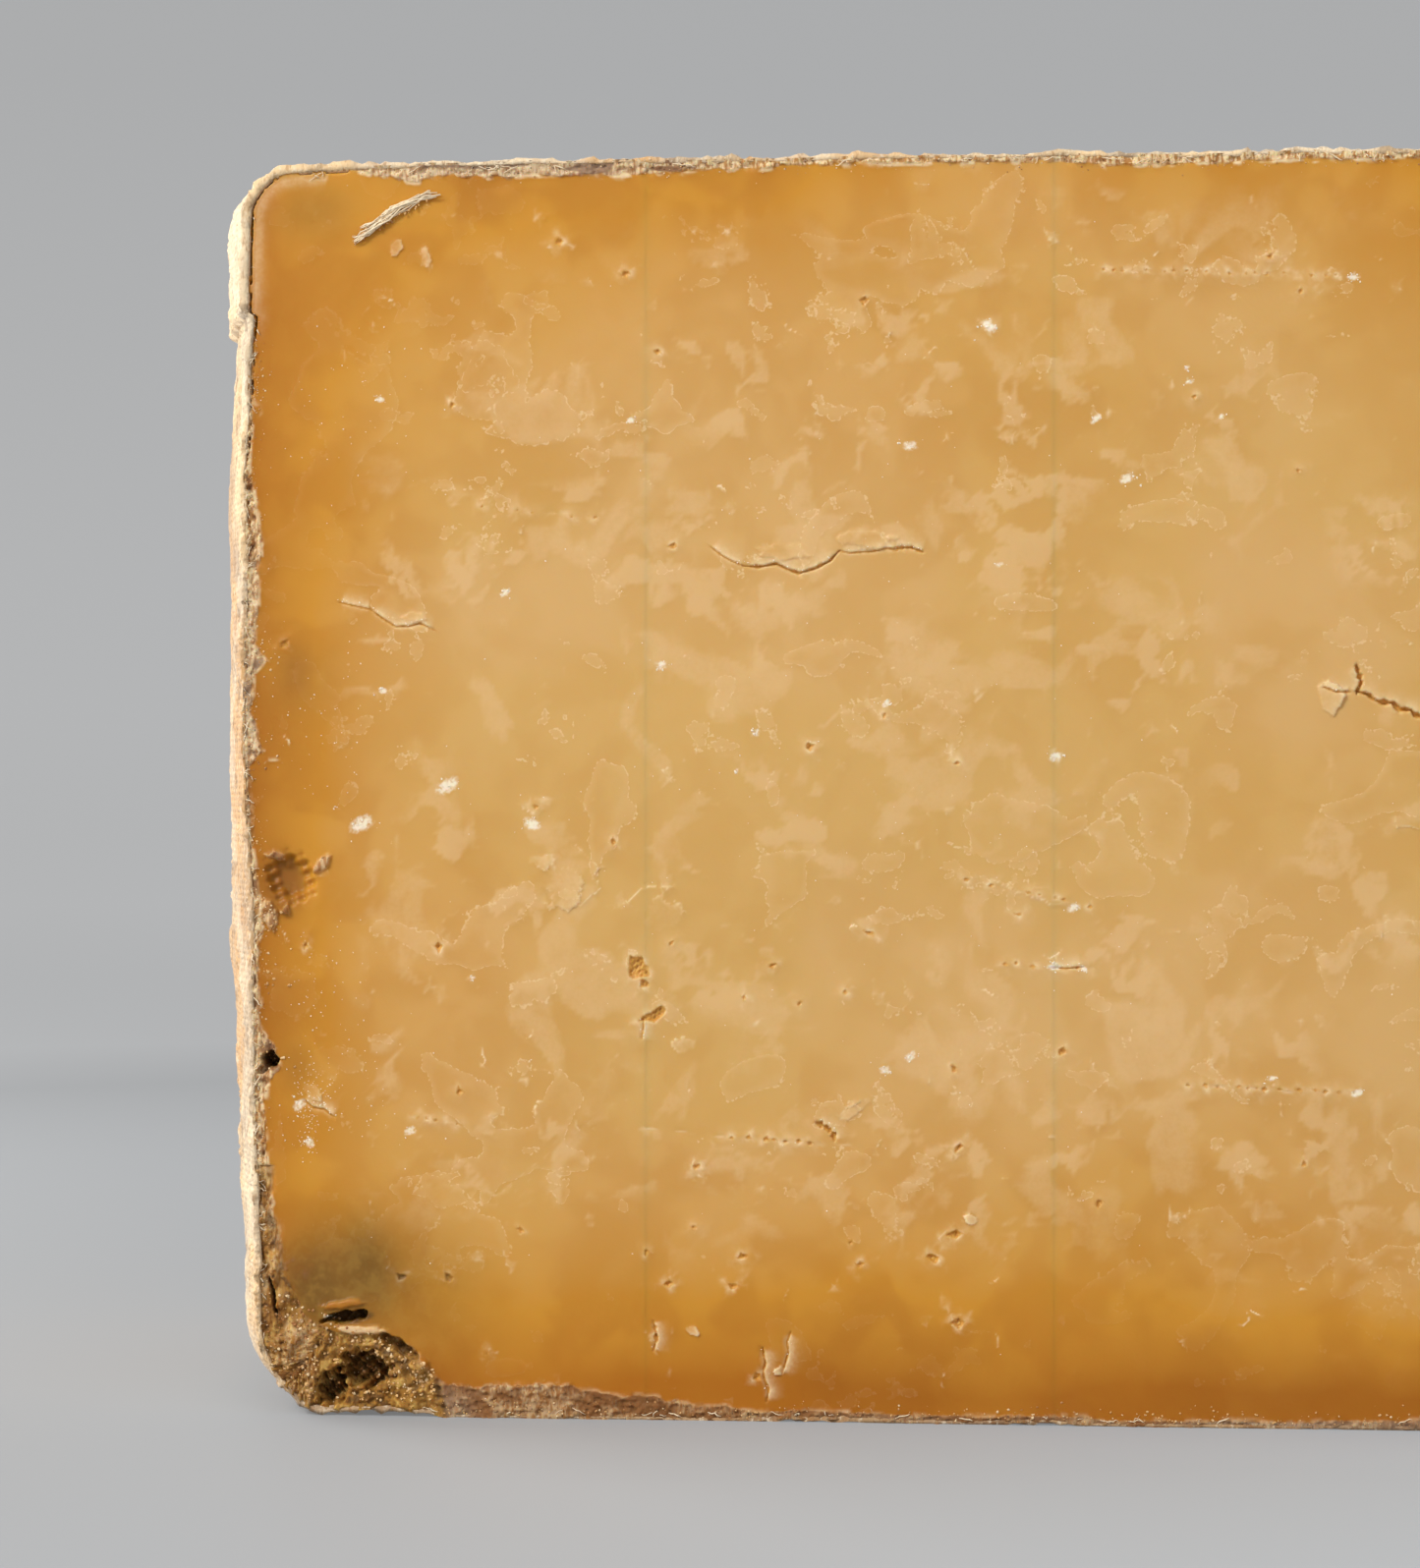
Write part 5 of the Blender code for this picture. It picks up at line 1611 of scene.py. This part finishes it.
def rind_crumbs(face):
    """Crumbs of crust along the rind's inner edge and in the broken corner."""
    draw = np.random.default_rng(61)
    spots = []
    for _ in range(900):
        z = draw.uniform(3, 112)
        x = BULGE_SEEN + abs(draw.normal(0, 0.8)) + 0.1
        spots.append((on_face(face, x, z, 0.0), draw.uniform(0.06, 0.26)))
    for _ in range(90):
        z = draw.choice((79.5, 69.5, 51.5, 46.0, 36.5)) + draw.normal(0, 1.1)
        spots.append((on_face(face, 2.0 + abs(draw.normal(0, 1.4)), z, 0.0), draw.uniform(0.1, 0.4)))
    for _ in range(420):
        x = draw.uniform(2, 21)
        z = draw.uniform(0.8, 15 - 0.5 * x)
        spots.append((on_face(face, x, max(z, 0.8), 0.0), draw.uniform(0.12, 0.5)))
    for _ in range(500):
        x = draw.uniform(20, 212)
        spots.append((on_face(face, x, 0.3 + abs(draw.normal(0, 0.8)), 0.0), draw.uniform(0.08, 0.32)))
    for _ in range(600):
        x = draw.uniform(11, 212)
        spots.append((on_face(face, x, 129.8 - abs(draw.normal(0, 0.8)), 0.0), draw.uniform(0.06, 0.26)))
    for _ in range(120):
        share = draw.random()
        x = 12.6 + 8 * share + draw.normal(0, 0.35)
        z = 122.2 + 4.4 * share + draw.normal(0, 0.3)
        spots.append((on_face(face, x, z, draw.uniform(0, 0.4)), draw.uniform(0.08, 0.3)))
    return spots


def frayed_threads(face):
    """Threads of the cap cloth lying on the face, and loose ends round its rim."""
    draw = np.random.default_rng(71)
    lines = []
    paths = (
        ((19.8, 126.6), (16.6, 125.0), (14.4, 123.2), (12.9, 122.4)),
        ((20.6, 126.9), (17.6, 125.8), (15.0, 124.2), (13.4, 123.2)),
        ((19.2, 126.0), (16.2, 124.4), (14.2, 122.8), (12.6, 121.9)),
        ((21.4, 126.6), (19.0, 126.2), (16.9, 125.4), (15.6, 124.6)),
    )
    for path in paths:
        for _ in range(5):
            line = []
            for index, (x, z) in enumerate(path):
                for share in (0.0, 0.5):
                    if index == len(path) - 1 and share:
                        continue
                    after = path[min(index + 1, len(path) - 1)]
                    px = x + (after[0] - x) * share + draw.normal(0, 0.22)
                    pz = z + (after[1] - z) * share + draw.normal(0, 0.16)
                    line.append(on_face(face, px, pz, draw.uniform(0.1, 0.55)))
            lines.append((line, draw.uniform(0.06, 0.13)))
    for _ in range(260):
        pick = draw.random()
        if pick < 0.45:
            x, z = BULGE_SEEN + 0.15, draw.uniform(6, 126)
            way = (draw.uniform(-0.2, 0.9), draw.uniform(-1.3, 1.3))
        elif pick < 0.8:
            x, z = draw.uniform(6, 212), 129.6
            way = (draw.uniform(-1.6, 1.6), draw.uniform(-0.9, 0.1))
        else:
            x, z = draw.uniform(20, 212), 0.5
            way = (draw.uniform(-1.6, 1.6), draw.uniform(-0.1, 0.7))
        line = []
        for index in range(5):
            share = index / 4
            px = x + way[0] * share + draw.normal(0, 0.06)
            pz = z + way[1] * share + draw.normal(0, 0.06)
            lift = 0.05 + draw.uniform(0, 0.22)
            line.append(on_face(face, max(px, BULGE_SEEN), min(max(pz, 0.3), 129.9), lift))
        lines.append((line, draw.uniform(0.03, 0.07)))
    return lines


def main():
    light_and_camera()
    bowl(stage_finish())
    paste = paste_finish()
    cloth = cloth_finish()
    weights = {
        "pale": 0.10, "hollow": 0.15, "crust": 0.10, "brown": 0.05, "mould_and_shade": 0.05, "white": 0.08,
        "milk": 0.06, "curd": 0.05, "bits": 0.05,
    }
    front = paint_front()
    seen = 126
    places = face_places(-1)
    leaves = leaf_cells(front, weights, (0.03, 0.06, 0.09))
    for name, low, high in (("left", 0, 42), ("mid_left", 42, 84), ("mid_right", 84, seen)):
        piece = face_mesh("front_face_" + name, front, -1, (low, high), leaves, places)
        put(piece, paste, True)
    leaves = leaf_cells(front, weights, (0.06, 0.10, 0.16))
    piece = face_mesh("front_face_right", front, -1, (seen, COARSE_LONG), leaves, places)
    put(piece, paste, True)
    back = paint_back()
    leaves = leaf_cells(back, weights, (0.09, 0.15, 0.22))
    piece = face_mesh("back_face", back, 1, (0, COARSE_LONG), leaves, face_places(1))
    put(piece, paste, True)
    rind = Rind()
    for name, first, last in rind.pieces:
        put(rind.mesh(name, first, last), cloth, True)
    crystal = crystal_finish()
    put(grains("crystals", crystals(front), 1, 81), crystal)
    put(grains("crystal_specks", specks(front), 0, 82), crystal)
    put(grains("crumbs", rind_crumbs(front), 1, 83, 0.8), crumb_finish())
    put(strands("cloth_threads", frayed_threads(front)), thread_finish())
    low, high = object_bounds()


main()
